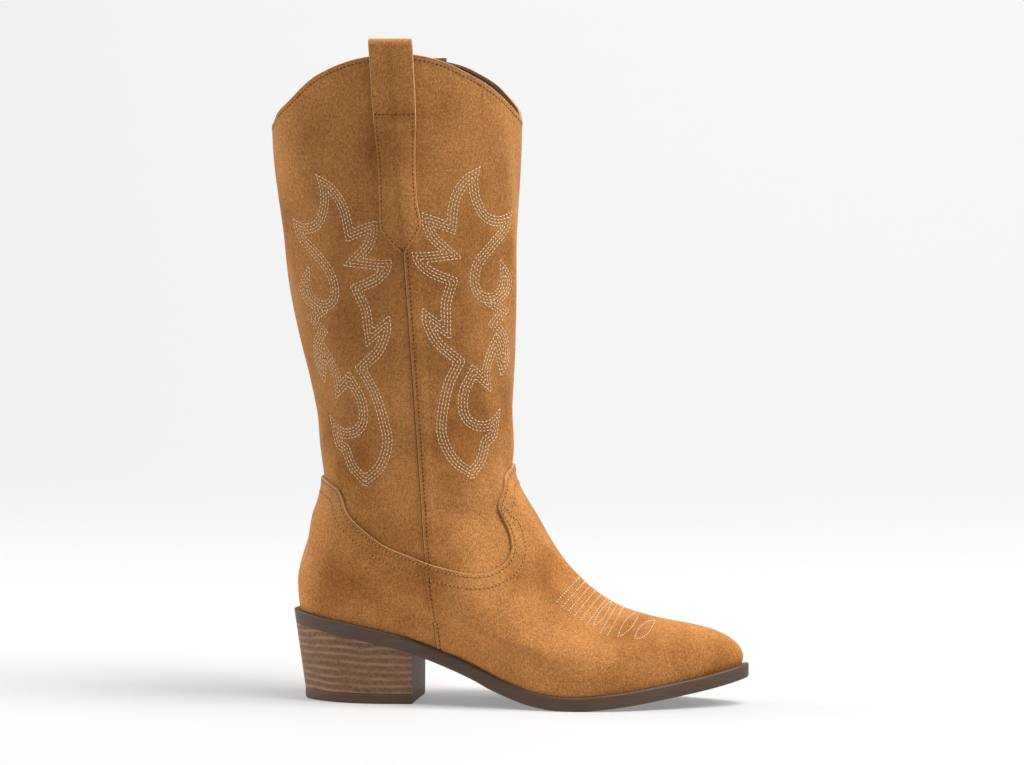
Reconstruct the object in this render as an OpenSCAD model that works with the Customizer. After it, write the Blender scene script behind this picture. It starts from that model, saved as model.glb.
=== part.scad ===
// Mid-calf western boot for the right foot, with a block heel, a side zip and one pull strap.
// +X points to the toe, +Z up and -Y to the outer side. The origin is the centre of the heel's rest face.

/* [Overall] */
// Length of the outsole from heel to toe
boot_length = 284.7; // [240:0.1:330]
// Width of the outsole across the ball
ball_width = 91; // [78:1:110]
// Height of the topline at the sides
boot_height = 399.5; // [350:0.5:450]
// How far the topline dips at the front
topline_dip = 40; // [20:1:55]
// Height of the heel at its back, under the outsole
heel_height = 48; // [34:1:60]
// Width of the shaft across its top
shaft_width = 100.8; // [84:0.2:120]

/* [Bottom] */
// Thickness of the outsole
outsole_t = 8.7; // [5:0.1:12]
// How far the outsole stands out past the upper
sole_edge = 2.2; // [1:0.1:4]
// Thickness of the rubber top lift under the heel
top_lift_t = 6.5; // [4:0.5:10]
// Length of the heel's rest face
heel_l = 72; // [56:1:84]
// Width of the heel's rest face
heel_w = 54; // [44:1:60]
// Thickness of the shank and filler layer
shank_t = 2; // [1.2:0.1:3]
// Width of the steel shank
shank_w = 15; // [10:1:20]
// Thickness of the insole board
board_t = 2; // [1.2:0.1:3]
// Thickness of the padded sock lining
sock_t = 2.6; // [1.5:0.1:5]

/* [Upper] */
// Thickness of the suede
suede_t = 1.4; // [1:0.1:2]
// Thickness of the toe puff and the heel stiffener
stiffener_t = 1.2; // [0.8:0.1:1.6]
// Thickness of the lining
lining_t = 0.8; // [0.5:0.1:1.2]
// Gap left between two layers of the upper
layer_gap = 0.45; // [0.1:0.05:0.7]
// How far the shaft runs down under the vamp and the counter, in loop heights
underlap = 9; // [6:1:12]

/* [Pull strap] */
// Width of the strap
strap_w = 26.5; // [18:0.5:34]
// Thickness of the strap
strap_t = 2; // [1.2:0.1:3]
// How far the loop rises above the topline
strap_rise = 9.5; // [7:0.5:20]
// Length of the outer leg below the topline
strap_leg = 118.5; // [70:0.5:140]
// Length of the inner leg below the topline
strap_inner_leg = 55; // [30:1:90]

/* [Zip] */
// Length of the zip's chain
zip_length = 256; // [200:1:262]
// Distance from the topline down to the chain's top
zip_top_gap = 7.5; // [6:0.5:14]
// Width of the closed chain
chain_w = 6; // [4:0.2:8]
// Thickness of the chain
chain_t = 2.1; // [1.6:0.1:3]
// Slot between the two halves of the chain
chain_slot = 1.1; // [1.1:0.1:1.6]
// Width of each tape
tape_w = 13; // [10:0.5:18]
// Thickness of the tapes
tape_t = 0.5; // [0.3:0.1:0.8]
// Length of the slider
slider_l = 11; // [8:0.5:14]
// Length of the puller tab
puller_l = 24; // [14:1:34]
// Width of the puller tab
puller_w = 6.5; // [5:0.5:9]
// Radius of the pin that the puller hangs on
puller_pin_r = 0.8; // [0.6:0.1:1]

/* [Fasteners] */
// Radius of the heel nails
nail_r = 1; // [0.7:0.1:1.4]
// Length of the heel nails
nail_l = 26; // [18:1:32]
// Radius of the heel screw
screw_r = 2; // [1.5:0.1:2.5]
// Length of the heel screw
screw_l = 30; // [20:1:34]

/* [Hidden] */

suede = "#b57f4a";
sole_brown = "#6b5546";
stack_brown = "#5a3d2c";
rubber_black = "#2a2624";
lining_black = "#333133";
board_tan = "#c9b48e";
zip_metal = "#c3b48a";
steel = "#9a9a9a";

// The form was drawn at these sizes, and is stretched from them to the sizes above.
drawn_sole = 8.7;
drawn_heel = 48;
drawn_height = 399.5;
drawn_ball = 86.2;
knee_z = 120;          // loops of the form are level from here up
ball_x = 112;          // the heel's lift fades out between the heel's breast and here
breast_x = 35.7;
toe_edge = 2.2;        // how much further the outsole stands out at the toe and at the back
back_edge = 1.6;
toe_swing = 5;         // how far the toe lies towards the inner side
feather_gap = 0.5;     // the upper starts this far above the outsole

// Profiles seen from the side, where the outer face of the upper lies: [z, x]
FRONT = [[25, 237], [30, 238], [36, 235.5], [42, 228.5], [47, 217], [50, 203], [53, 185.5], [58.5, 165.5],
    [67.5, 149], [82.5, 133], [105, 115], [127, 101], [142, 94.8], [157, 94.5], [200, 95], [280, 97.6],
    [358, 100.4], [430, 101.5]];
BACK = [[56, -39.5], [66, -40.6], [74, -40.8], [82, -39.6], [96, -35.9], [111, -30.7], [126, -25.8],
    [138, -24], [150, -24.6], [170, -26.9], [200, -31.8], [230, -39.2], [260, -45.5], [300, -50.8],
    [344, -55.6], [430, -58.5]];
// Top of the outsole: [x, z]
SEAT = [[-42, 56.5], [-20, 53], [0, 49.3], [18, 45.5], [35, 41], [60, 32], [76, 25.5], [90, 18.8],
    [106, 12.9], [118, 10.1], [130, 8.8], [143, 8.7], [169, 11.4], [195, 15.7], [220, 20.5], [245, 27]];
// Half width of the lowest loop over its sine, outer and inner side: [share of the length, width]
FEATHER_OUTER = [[0, 46], [0.1, 45], [0.3, 30], [0.45, 34], [0.62, 46], [0.75, 46], [0.88, 38], [1, 28]];
FEATHER_INNER = [[0, 46], [0.1, 45], [0.3, 26], [0.45, 30], [0.62, 42], [0.75, 42], [0.88, 35], [1, 26]];
// How much wider the shaft's back is than its front: [z, share]
EGG = [[110, 0.14], [150, 0.1], [220, 0.05], [300, 0]];
knee_half = 36.9;      // half width of the shaft at the knee of the form
// Topline: [share of the way from back to front, drop as a share of the front dip]
TOPLINE = [[0, 1.06], [0.1, 0.99], [0.15, 0.85], [0.217, 0.67], [0.315, 0.32], [0.425, 0.085], [0.53, 0],
    [0.58, 0.01], [0.647, 0.1], [0.704, 0.24], [0.768, 0.41], [0.846, 0.64], [0.93, 0.84], [1, 0.98]];

// Outer seam and zip line are straight in the side view: x at the top, and slope
seam_top_x = 26.5;
seam_slope = 0.0615;
zip_top_x = 30.5;
zip_slope = 0.052;

// Edges of the vamp and the counter: [share round the side from back to front, loop height]
seam_foot = 0.389;
seam_head = [0.503, 85];
VAMP_CURVE = [seam_head, [0.55, 83], [0.588, 81], [0.625, 79.5], [0.66, 80], [0.7, 83.5], [0.734, 89.5],
    [0.758, 97.4], [0.773, 108], [0.774, 121.6]];
VAMP_NOTCH = [[0.774, 121.6], [0.793, 126], [0.816, 129.4], [0.853, 135.5], [0.876, 139.7]];
VAMP_PEAK = [[0.876, 139.7], [0.93, 143], [1, 148]];
COUNTER_CURVE = [seam_head, [0.476, 86.4], [0.439, 88.1], [0.4, 91.4], [0.359, 98.2], [0.311, 109.2],
    [0.276, 120.3], [0.25, 128.4], [0.231, 133.2]];
COUNTER_PEAK = [[0.231, 133.2], [0.169, 136.8], [0.098, 138.7], [0, 139.5]];

// ---- curves ----
function mix(a, b, t) = a + (b - a) * t;
function clamp(v, low, high) = min(max(v, low), high);
function ease(t) = let(k = clamp(t, 0, 1)) k * k * (3 - 2 * k);
function span(p, k, i = 0) = i >= len(p) - 2 || k < p[i + 1][0] ? i : span(p, k, i + 1);
function slope_at(p, i) =
    let(a = max(i - 1, 0), b = min(i + 1, len(p) - 1)) (p[b][1] - p[a][1]) / (p[b][0] - p[a][0]);
// Smooth curve through [key, value] points, level beyond its ends.
function curve(p, key) =
    let(k = clamp(key, p[0][0], p[len(p) - 1][0]), i = span(p, k), h = p[i + 1][0] - p[i][0],
        t = (k - p[i][0]) / h, m0 = slope_at(p, i) * h, m1 = slope_at(p, i + 1) * h)
    (2 * t ^ 3 - 3 * t ^ 2 + 1) * p[i][1] + (t ^ 3 - 2 * t ^ 2 + t) * m0
    + (3 * t ^ 2 - 2 * t ^ 3) * p[i + 1][1] + (t ^ 3 - t ^ 2) * m1;
// n + 1 points at equal steps along a smooth line through plane points.
function trace(p, n) =
    let(m = len(p) - 1, xs = [for (i = [0:m]) [i, p[i][0]]], ys = [for (i = [0:m]) [i, p[i][1]]])
    [for (j = [0:n]) [curve(xs, m * j / n), curve(ys, m * j / n)]];
function tail(p) = [for (i = [1:len(p) - 1]) p[i]];
function flip(p) = [for (i = [len(p) - 1:-1:0]) p[i]];

// ---- the form ----
heel_lift = heel_height - drawn_heel;
sole_lift = outsole_t - drawn_sole;
toe_z = FRONT[0][0] + sole_lift;
heel_z = BACK[0][0] + sole_lift + heel_lift;
knee = knee_z + sole_lift + heel_lift;
shaft_fit = (boot_height - knee) / (drawn_height - knee_z);
x_fit = (boot_length - 2 * sole_edge - toe_edge - back_edge) / (FRONT[0][1] - BACK[0][1]);
y_fit = (ball_width - 2 * sole_edge) / drawn_ball;
function drawn_z(z) = knee_z + (z - knee) / shaft_fit;
function seat_z(x) =
    curve(SEAT, x / x_fit) + sole_lift + heel_lift * ease((ball_x - x / x_fit) / (ball_x - breast_x));
function front_x(z) = x_fit * curve(FRONT, drawn_z(z));
function back_x(z) = x_fit * curve(BACK, drawn_z(z));
// Line at x in the side view, x given by its top and slope, as a share round the side.
function line_x(top, slope, z) = x_fit * (top + slope * (drawn_height - drawn_z(z)));
function share_at(x, z) = acos(1 - 2 * (x - back_x(z)) / (front_x(z) - back_x(z))) / 180;
function zip_share(z, s = 0) = share_at(line_x(zip_top_x, zip_slope, z) + s, z);
function seam_share(z, s = 0) = share_at(line_x(seam_top_x, seam_slope, z) + s, z);
function egg(u, z) = 1 + curve(EGG, drawn_z(z)) * cos(180 * u);
// Half width of the shaft, chosen so that the zip line is straight in space too.
function shaft_half(z) =
    let(u = zip_share(z), side = mix(knee_half, shaft_width / 2, (z - knee) / (boot_height - knee)))
    side / sin(180 * u) / egg(u, z);
// a runs round the boot: 0 back, 0.5 outer side, 1 front, 1.5 inner side, 2 back again.
function turn(a) = a < 0 ? a + 2 : a >= 2 ? a - 2 : a;
function outer_side(a) = turn(a) < 1;
function share(a) = outer_side(a) ? turn(a) : 2 - turn(a);
// Levels given on the drawing, below the knee in loop heights, to this boot's.
function level(h) = h < knee_z ? h * knee / knee_z : knee + (h - knee_z) * shaft_fit;
// Point of the form at turn a and level h, which is z above the knee and a loop height below it.
function form(a, h) =
    let(u = share(a), c = (1 - cos(180 * u)) / 2, t = min(h / knee, 1), foot = h < knee,
        xb = foot ? x_fit * curve(BACK, mix(BACK[0][0], knee_z, t)) : back_x(h),
        xf = foot ? x_fit * curve(FRONT, mix(FRONT[0][0], knee_z, t)) : front_x(h),
        fx = x_fit * mix(BACK[0][1], FRONT[0][1], c),
        pin = (1 - c) * (heel_z - seat_z(x_fit * BACK[0][1])) + c * (toe_z - seat_z(x_fit * FRONT[0][1])),
        z = foot ? mix(seat_z(fx) + pin, knee, t) : h,
        k = max(h, knee),
        feather = y_fit * curve(outer_side(a) ? FEATHER_OUTER : FEATHER_INNER, c),
        half = sin(180 * u) * mix(feather * (1 + 0.45 * t * (1 - t) ^ 4), shaft_half(k) * egg(u, k), t ^ 1.3))
    [mix(xb, xf, c), (outer_side(a) ? -half : half) + toe_swing * c ^ 3 * (1 - t), z];
function form_normal(a, h) =
    let(da = 0.004, low = max(h - 0.4, 0),
        v = cross(form(turn(a + da), h) - form(turn(a - da), h), form(a, low + 0.8) - form(a, low)))
    v / norm(v);
// Point at depth d under the form. Minus is outside it.
function under(a, h, d) = form(a, h) - d * form_normal(a, h);
function topline(a) = boot_height - topline_dip * curve(TOPLINE, share(a));

// ---- layers of the upper ----
// A closed solid between two grids of points.
module slab(outer, inner) {
    cols = len(outer);
    rows = len(outer[0]);
    n = cols * rows;
    function at(i, j, k) = k * n + i * rows + j;
    function quad(a, b, c, d) = [[a, b, c], [a, c, d]];
    skin = [for (i = [0:cols - 2], j = [0:rows - 2]) each concat(
        quad(at(i, j, 0), at(i, j + 1, 0), at(i + 1, j + 1, 0), at(i + 1, j, 0)),
        quad(at(i, j, 1), at(i + 1, j, 1), at(i + 1, j + 1, 1), at(i, j + 1, 1)))];
    ends = [for (i = [0:cols - 2]) each concat(
        quad(at(i, 0, 0), at(i + 1, 0, 0), at(i + 1, 0, 1), at(i, 0, 1)),
        quad(at(i, rows - 1, 0), at(i, rows - 1, 1), at(i + 1, rows - 1, 1), at(i + 1, rows - 1, 0)))];
    sides = [for (j = [0:rows - 2]) each concat(
        quad(at(0, j, 0), at(0, j, 1), at(0, j + 1, 1), at(0, j + 1, 0)),
        quad(at(cols - 1, j, 0), at(cols - 1, j + 1, 0), at(cols - 1, j + 1, 1), at(cols - 1, j, 1)))];
    polyhedron(concat([for (c = outer) each c], [for (c = inner) each c]), concat(skin, ends, sides));
}
// A layer over a grid of [turn, level] columns. depth is a function of the share of the way up.
module layer(grid, depth, t) {
    slab([for (c = grid) [for (p = c) under(p[0], p[1], depth(p[1] / c[len(c) - 1][1]))]],
        [for (c = grid) [for (p = c) under(p[0], p[1], depth(p[1] / c[len(c) - 1][1]) + t)]]);
}
function mirror_turn(p) = [for (q = flip(p)) [2 - q[0], q[1]]];
function drawn(p) = [for (q = p) [q[0], level(q[1])]];

join_gap = 0.2;        // between two pieces that meet edge to edge
edge_turn = 0.002;     // the same between the vamp and the counter, in turns
over = suede_t + layer_gap;
lining_d = suede_t + layer_gap;
foot_lining_d = lining_d + stiffener_t + layer_gap;
// Vamp and counter lie over the shaft at their top edge, and come in to the form below it.
function cover_depth(f) = -over * ease((f - 0.5) / 0.32);
function foot_lining_depth(f) = mix(foot_lining_d, lining_d, ease((f - 0.5) / 0.32));

vamp_side = concat(trace(VAMP_CURVE, 11), tail(trace(VAMP_NOTCH, 4)), tail(trace(VAMP_PEAK, 4)));
vamp_high = drawn(concat(vamp_side, tail(mirror_turn(vamp_side))));
counter_side = concat(trace(COUNTER_CURVE, 9), tail(trace(COUNTER_PEAK, 4)));
counter_high = drawn(concat([for (q = tail(flip(counter_side))) [q[0], q[1]]], []));
v_n = len(vamp_high) - 1;
// Foot of each vamp column, closer together towards the toe.
function vamp_foot(i) = let(k = 2 * i / v_n - 1) 1 + sign(k) * (1 - seam_foot) * abs(k) ^ 1.15;
vamp_low = [for (i = [0:v_n]) [vamp_foot(i), feather_gap]];
FOOT_ROWS = [0, 0.025, 0.06, 0.105, 0.16, 0.22, 0.29, 0.37, 0.46, 0.56, 0.67, 0.78, 0.86, 0.93, 1];
// The side seam of vamp and counter, straight in the side view, as a share at a level.
head = level(seam_head[1]);
seam_from = form(seam_foot, 0)[0];
seam_to = form(seam_head[0], head)[0];
function side_share(h) =
    h >= head ? seam_head[0]
    : let(x = mix(seam_from, seam_to, h / head), b = form(0, h)[0], f = form(1, h)[0])
        acos(1 - 2 * (x - b) / (f - b)) / 180;
// Columns between a low and a high edge, kept at their share of the way from the seam.
vamp_grid = [for (i = [0:v_n]) let(p = vamp_low[i], q = vamp_high[i])
    [for (f = FOOT_ROWS) let(h = mix(p[1], q[1], f), s = side_share(h),
        k = mix((p[0] - seam_foot) / (2 - 2 * seam_foot), (q[0] - seam_head[0]) / (2 - 2 * seam_head[0]), f))
        [mix(s, 2 - s, k), h]]];
// The counter's columns run from the inner seam round the back, with turns below zero on the inner side.
counter_arc = concat([for (q = counter_side) [-q[0], q[1]]], tail(flip(counter_side)));
c_n = len(counter_arc) - 1;
counter_low = [for (i = [0:c_n]) [(seam_foot - edge_turn) * (2 * i / c_n - 1), feather_gap]];
counter_top = [for (i = [0:c_n]) let(q = counter_arc[i], e = i == 0 ? edge_turn : i == c_n ? -edge_turn : 0)
    [q[0] + e, level(q[1])]];
function turned(g) = [for (c = g) [for (p = c) [turn(p[0]), p[1]]]];
counter_grid = turned([for (i = [0:c_n]) let(p = counter_low[i], q = counter_top[i])
    [for (f = FOOT_ROWS) let(h = mix(p[1], q[1], f))
        [side_share(h) * mix(p[0] / seam_foot, q[0] / seam_head[0], f), h]]]);

// Shaft panels: each column keeps its share of the way between the panel's two side edges.
slit = chain_w / 2 + 2.6;
slit_end = boot_height - zip_top_gap - zip_length;
function slit_half(h, open, early) = mix(join_gap, open, clamp((h - slit_end + early) / 14, 0, 1));
slit_early = 18;      // how far below the zip's end a slit starts to open
lining_early = 38;    // the same for the linings, which clear the tapes' lower ends
function low_share(h, at_knee, foot_share) = mix(foot_share, at_knee, clamp(h / knee, 0, 1));
// Turn of the outer seam, and share of the zip's line, at any level.
function seam_turn(h, s) =
    h >= knee ? seam_share(h, s)
    : mix(seam_head[0], seam_share(knee), (h - head) / (knee - head)) + seam_share(knee, s) - seam_share(knee);
function zip_turn(h, s) =
    2 - (h >= knee ? zip_share(h, s)
    : mix(seam_head[0], zip_share(knee), (h - head) / (knee - head)) + zip_share(knee, s) - zip_share(knee));
rows_shaft = 22;
lining_drop = 1.5;    // how far the linings stop below the rim
// Rows of a panel from edge to top. A lining leaves out the row that runs under the vamp.
function shaft_rows(edge, top, lined) =
    [for (j = [lined ? 1 : 0:rows_shaft]) j == 0 ? edge - underlap : mix(edge, top, (j - 1) / (rows_shaft - 1))];
lining_rise = 0.6;     // how far a shaft lining starts above the style line
// How far each column of the style line lies on its way from one side edge of the panel to the other.
function front_share(q) = let(a = seam_turn(q[1], 0), b = zip_turn(q[1], 0)) clamp((q[0] - a) / (b - a), 0, 1);
function back_share(q) = let(h = level(q[1]), a = zip_turn(h, 0) - 2, b = seam_turn(h, 0))
    clamp((q[0] - a) / (b - a), 0, 1);
// Turns of a column, k of the way from one side edge to the other, at a level.
function front_turn(h, k, half) = mix(seam_turn(h, join_gap / 2), zip_turn(h, half), k);
function back_turn(h, k, half) = mix(zip_turn(h, -half) - 2, seam_turn(h, -join_gap / 2), k);
// Where a lining's column starts. By the zip it has moved aside, so it clears the style line beside it too.
function front_start(i, open) = lining_rise + (vamp_high[i][0] < 1 ? vamp_high[i][1]
    : max([for (j = [i - 1:min(i + 1, len(vamp_high) - 1)]) let(q = vamp_high[j])
        max(q[1], lookup(front_turn(q[1] + 12, front_share(q), open), vamp_high))]));
function back_start(i, open) = lining_rise + (counter_arc[i][0] > 0 ? level(counter_arc[i][1])
    : max([for (j = [max(i - 1, 0):i + 1]) let(q = counter_arc[j])
        level(max(q[1], lookup(back_turn(level(q[1]) + 12, back_share(q), open), counter_arc)))]));
// Front panel: from the outer seam over the front to the zip.
function front_grid(lined, open) =
    [for (i = [0:len(vamp_high) - 1])
        let(k = front_share(vamp_high[i]), start = lined ? front_start(i, open) : vamp_high[i][1],
            rim = topline(mix(seam_turn(boot_height, 0), zip_turn(boot_height, open), k)))
        [for (h = shaft_rows(start, rim - (lined ? lining_drop : 0), lined))
            [front_turn(h, k, slit_half(h, open, lined ? lining_early : slit_early)), h]]];
// Back panel: from the zip round the back to the outer seam.
function back_grid(lined, open) =
    [for (i = [0:len(counter_arc) - 1])
        let(k = back_share(counter_arc[i]), start = lined ? back_start(i, open) : level(counter_arc[i][1]),
            rim = topline(turn(mix(zip_turn(boot_height, -open) - 2, seam_turn(boot_height, 0), k))))
        [for (h = shaft_rows(start, rim - (lined ? lining_drop : 0), lined))
            [turn(back_turn(h, k, slit_half(h, open, lined ? lining_early : slit_early))), h]]];
lining_slit = chain_w / 2 + tape_w + 0.8;
// The lowest rows of some columns of a grid, so that a layer under it has the same facets.
function lower_rows(g, a, b, n) = [for (i = [a:b]) [for (j = [0:n]) g[i][j]]];

module vamp() {
    color(suede) layer(vamp_grid, function(f) cover_depth(f), suede_t);
}
module heel_counter() {
    color(suede) layer(counter_grid, function(f) cover_depth(f), suede_t);
}
module shaft_front() {
    color(suede) layer(front_grid(false, slit), function(f) 0, suede_t);
}
module shaft_back() {
    color(suede) layer(back_grid(false, slit), function(f) 0, suede_t);
}
module toe_puff() {
    color(board_tan) layer(lower_rows(vamp_grid, round(v_n * 0.25), round(v_n * 0.75), 6),
        function(f) lining_d, stiffener_t);
}
module heel_stiffener() {
    color(board_tan) layer(lower_rows(counter_grid, 1, c_n - 1, 8), function(f) lining_d, stiffener_t);
}
module vamp_lining() {
    color(lining_black) layer(vamp_grid, function(f) foot_lining_depth(f), lining_t);
}
module heel_lining() {
    color(lining_black) layer(counter_grid, function(f) foot_lining_depth(f), lining_t);
}
module shaft_lining_front() {
    color(lining_black) layer(front_grid(true, lining_slit), function(f) lining_d, lining_t);
}
module shaft_lining_back() {
    color(lining_black) layer(back_grid(true, lining_slit), function(f) lining_d, lining_t);
}

// ---- pull strap ----
// Offsets of its two edges from the outer seam, by drop below the topline as a share of the outer leg
STRAP_BACK = [[0, -13.1], [0.3, -13], [0.54, -11.6], [0.74, -12.4], [0.86, -13], [0.9, -11.8], [0.98, -4.2], [1, -1.6]];
STRAP_FRONT = [[0, 13.4], [0.3, 13], [0.54, 11], [0.74, 10.6], [0.85, 11.8], [0.89, 10.6], [0.97, 3.6], [1, 1.2]];
strap_gap = 0.3;
strap_out = -strap_gap - strap_t / 2;
strap_in = lining_d + lining_t + strap_gap + strap_t / 2;
strap_z = boot_height - 1.6;
arch_r = (strap_in - strap_out) / 2;
arch_z = strap_z + strap_rise + 1.4 - arch_r - strap_t / 2;
// Middle line of the strap: [depth, z, direction its outer face looks, share of the outer leg]
strap_line = concat(
    [for (j = [0:14]) let(f = 1 - j / 14) [strap_out, strap_z - strap_leg * f, 180, f]],
    [for (j = [0:8]) let(q = 180 - 22.5 * j)
        [(strap_in + strap_out) / 2 + arch_r * cos(q), arch_z + arch_r * sin(q), q, 0]],
    [for (j = [1:6]) [strap_in, strap_z - strap_inner_leg * j / 6, 0, 0]]);
function strap_point(p, w, side) =
    let(fit = strap_w / 26.5, s = fit * mix(curve(STRAP_BACK, p[3]), curve(STRAP_FRONT, p[3]), w),
        d = p[0] + side * cos(p[2]) * strap_t / 2, z = p[1] + side * sin(p[2]) * strap_t / 2)
    under(seam_share(z, s), z, d);
module pull_strap() {
    color(suede) slab([for (p = flip(strap_line)) [for (w = [0:0.125:1]) strap_point(p, w, 1)]],
        [for (p = flip(strap_line)) [for (w = [0:0.125:1]) strap_point(p, w, -1)]]);
}

// ---- bottom ----
x_step = 6;
bed_x = [for (x = [-60:x_step:boot_length]) x];
// Outline of the lowest loop, moved out by d.
function foot_edge(a, d, toe = 0, back = 0) =
    let(p = form(turn(a), 0), q = form(turn(a + 0.004), 0) - form(turn(a - 0.004), 0), c = (1 - cos(180 * share(a))) / 2)
    [p[0], p[1]] + (d + toe * c ^ 8 + back * (1 - c) ^ 8) * [q[1], -q[0]] / norm([q[0], q[1]]);
function foot_outline(d) = [for (i = [0:89]) foot_edge(i / 45, d)];
sole_outline = [for (i = [0:89]) foot_edge(i / 45, sole_edge, toe_edge, back_edge)];
module upright(p) {
    linear_extrude(height = 120) polygon(p);
}
module sideways(p, w) {
    rotate([90, 0, 0]) translate([0, 0, -w]) linear_extrude(height = 2 * w) polygon(p);
}
module bed_layer(low, t, inset) {
    intersection() {
        upright(foot_outline(-inset));
        sideways(concat([for (x = bed_x) [x, seat_z(x) + low]],
            [for (x = flip(bed_x)) [x, seat_z(x) + low + t]]), 70);
    }
}
function sole_bottom(x) = max(0, seat_z(x) - 0.1 - outsole_t * norm([1, (seat_z(x + 1) - seat_z(x - 1)) / 2]));
inner_d = foot_lining_d + lining_t + 0.6;
NAILS = [for (q = [[-22, 0], [-13, 15], [-13, -15], [12, 18], [12, -18]]) [q[0] * heel_l / 72, q[1] * heel_w / 54]];
screw_x = -5 * heel_l / 72;
fastener_fit = 0.05;
module nail_holes() {
    for (q = NAILS) translate([q[0], q[1], -1]) cylinder(r = nail_r + fastener_fit, h = 120, $fn = 24);
    translate([screw_x, 0, -1]) cylinder(r = screw_r + fastener_fit, h = 120, $fn = 24);
}
module head_wells() {
    for (q = NAILS) translate([q[0], q[1], nail_top(q[0]) - 1.3]) cylinder(r = 2.5, h = 9, $fn = 24);
    translate([screw_x, 0, nail_top(screw_x) - 1.7]) cylinder(r = 4, h = 9, $fn = 24);
}
function nail_top(x) = seat_z(x) + shank_t + board_t - 0.7;

module outsole() {
    color(sole_brown) difference() {
        intersection() {
            upright(sole_outline);
            sideways(concat([for (x = bed_x) [x, sole_bottom(x)]],
                [for (x = flip(bed_x)) [x, seat_z(x)]]), 70);
        }
        nail_holes();
    }
}
shank_from = 8;
shank_to = 98;
module shank() {
    color(steel) intersection() {
        bed_layer(0, shank_t, inner_d);
        translate([shank_from * x_fit, -shank_w / 2, 0]) cube([(shank_to - shank_from) * x_fit, shank_w, 120]);
    }
}
module bottom_filler() {
    color(board_tan) difference() {
        bed_layer(0, shank_t, inner_d);
        translate([shank_from * x_fit - 1, -shank_w / 2 - 0.3, 0])
            cube([(shank_to - shank_from) * x_fit + 2, shank_w + 0.6, 120]);
        nail_holes();
        head_wells();
    }
}
module insole_board() {
    color(board_tan) difference() {
        bed_layer(shank_t, board_t, inner_d);
        nail_holes();
        head_wells();
    }
}
module sock_lining() {
    color(lining_black) bed_layer(shank_t + board_t, sock_t, inner_d);
}

// ---- heel ----
back_reach = -foot_edge(0, sole_edge, toe_edge, back_edge)[0] - 2;
breast = breast_x * heel_l / 72;
heel_half = max([for (q = sole_outline) q[0] < breast ? q[1] : 0]) - 1.2;
heel_top = sole_bottom(-back_reach);
// The heel's outline at its foot (k = 1) and at its top (k = 0), cut straight at the breast.
function heel_ring(k) =
    [for (i = [-24:24]) let(q = foot_edge(turn(i / 60), sole_edge - 1.2, 0, back_edge))
        if (q[0] < breast) [breast - (breast - q[0]) * mix(1, heel_l / (breast + back_reach + 0.8), k),
            q[1] * mix(1, heel_w / 2 / heel_half, k)]];
function heel_outline(k) = let(r = heel_ring(k)) concat([[breast, r[0][1]]], r, [[breast, r[len(r) - 1][1]]]);
module heel_block() {
    color(stack_brown) difference() {
        intersection() {
            hull() {
                translate([0, 0, top_lift_t]) linear_extrude(height = 0.01) polygon(heel_outline(1));
                translate([0, 0, heel_top + 6]) linear_extrude(height = 0.01) polygon(heel_outline(-6 / heel_top));
            }
            sideways(concat([[-60, top_lift_t], [breast, top_lift_t], [breast, sole_bottom(breast)]],
                [for (x = flip(bed_x)) if (x < breast - 0.5) [x, sole_bottom(x)]]), 60);
        }
        nail_holes_in_heel();
        lift_pins(1.5 + fastener_fit, 0.2);
    }
}
module nail_holes_in_heel() {
    for (q = NAILS) translate([q[0], q[1], nail_top(q[0]) - nail_l - 0.5])
        cylinder(r = nail_r + fastener_fit, h = 90, $fn = 24);
    translate([screw_x, 0, nail_top(screw_x) - screw_l - 0.5])
        cylinder(r = screw_r + fastener_fit, h = 90, $fn = 24);
}
module lift_pins(r, end) {
    for (q = [[-20, 0], [16, 13], [16, -13]])
        translate([q[0] * heel_l / 72, q[1] * heel_w / 54, top_lift_t - 4.5 - end])
            cylinder(r = r, h = 11 + 2 * end, $fn = 24);
}
module heel_top_lift() {
    color(rubber_black) difference() {
        linear_extrude(height = top_lift_t) polygon(heel_outline(1));
        lift_pins(1.5 + fastener_fit, 0.2);
        translate([breast - 1.2, -5, 1.6]) cube([3, 10, top_lift_t - 3.2]);
    }
}
module top_lift_pins() {
    color(steel) lift_pins(1.5, 0);
}
module heel_nails() {
    color(steel) for (q = NAILS) translate([q[0], q[1], nail_top(q[0])]) {
        translate([0, 0, -nail_l]) cylinder(r = nail_r, h = nail_l, $fn = 24);
        translate([0, 0, -1]) cylinder(r = 2.2, h = 1, $fn = 24);
    }
}
module heel_screw() {
    color(steel) translate([screw_x, 0, nail_top(screw_x)]) {
        translate([0, 0, -screw_l]) cylinder(r = screw_r, h = screw_l, $fn = 24);
        translate([0, 0, -1.4]) cylinder(r = 3.6, h = 1.4, $fn = 24);
    }
}

// ---- zip ----
// The zip's own frame: x towards the toe, y down its line, z out of the shaft, origin at the chain's top.
zip_top_z = boot_height - zip_top_gap;
zip_a = form(2 - zip_share(zip_top_z), zip_top_z);
zip_b = form(2 - zip_share(slit_end), slit_end);
zip_down = (zip_b - zip_a) / norm(zip_b - zip_a);
zip_n0 = form_normal(2 - zip_share(zip_top_z), zip_top_z) + form_normal(2 - zip_share(slit_end), slit_end);
zip_n1 = zip_n0 - zip_down * (zip_n0 * zip_down);
zip_out = zip_n1 / norm(zip_n1);
zip_side = cross(zip_down, zip_out);
chain_l = norm(zip_b - zip_a);
run = 0.3;             // gap between the slider and all it runs past
plate_t = 0.95;
slider_w = chain_w + 3;
web_t = chain_slot - 2 * run;
pin_z = run + plate_t + run + 1.7;
pin_y = 0.6 + slider_l * 0.3;
module at_zip() {
    multmatrix([[zip_side[0], zip_down[0], zip_out[0], zip_a[0]], [zip_side[1], zip_down[1], zip_out[1], zip_a[1]],
        [zip_side[2], zip_down[2], zip_out[2], zip_a[2]], [0, 0, 0, 1]]) children();
}
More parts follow.
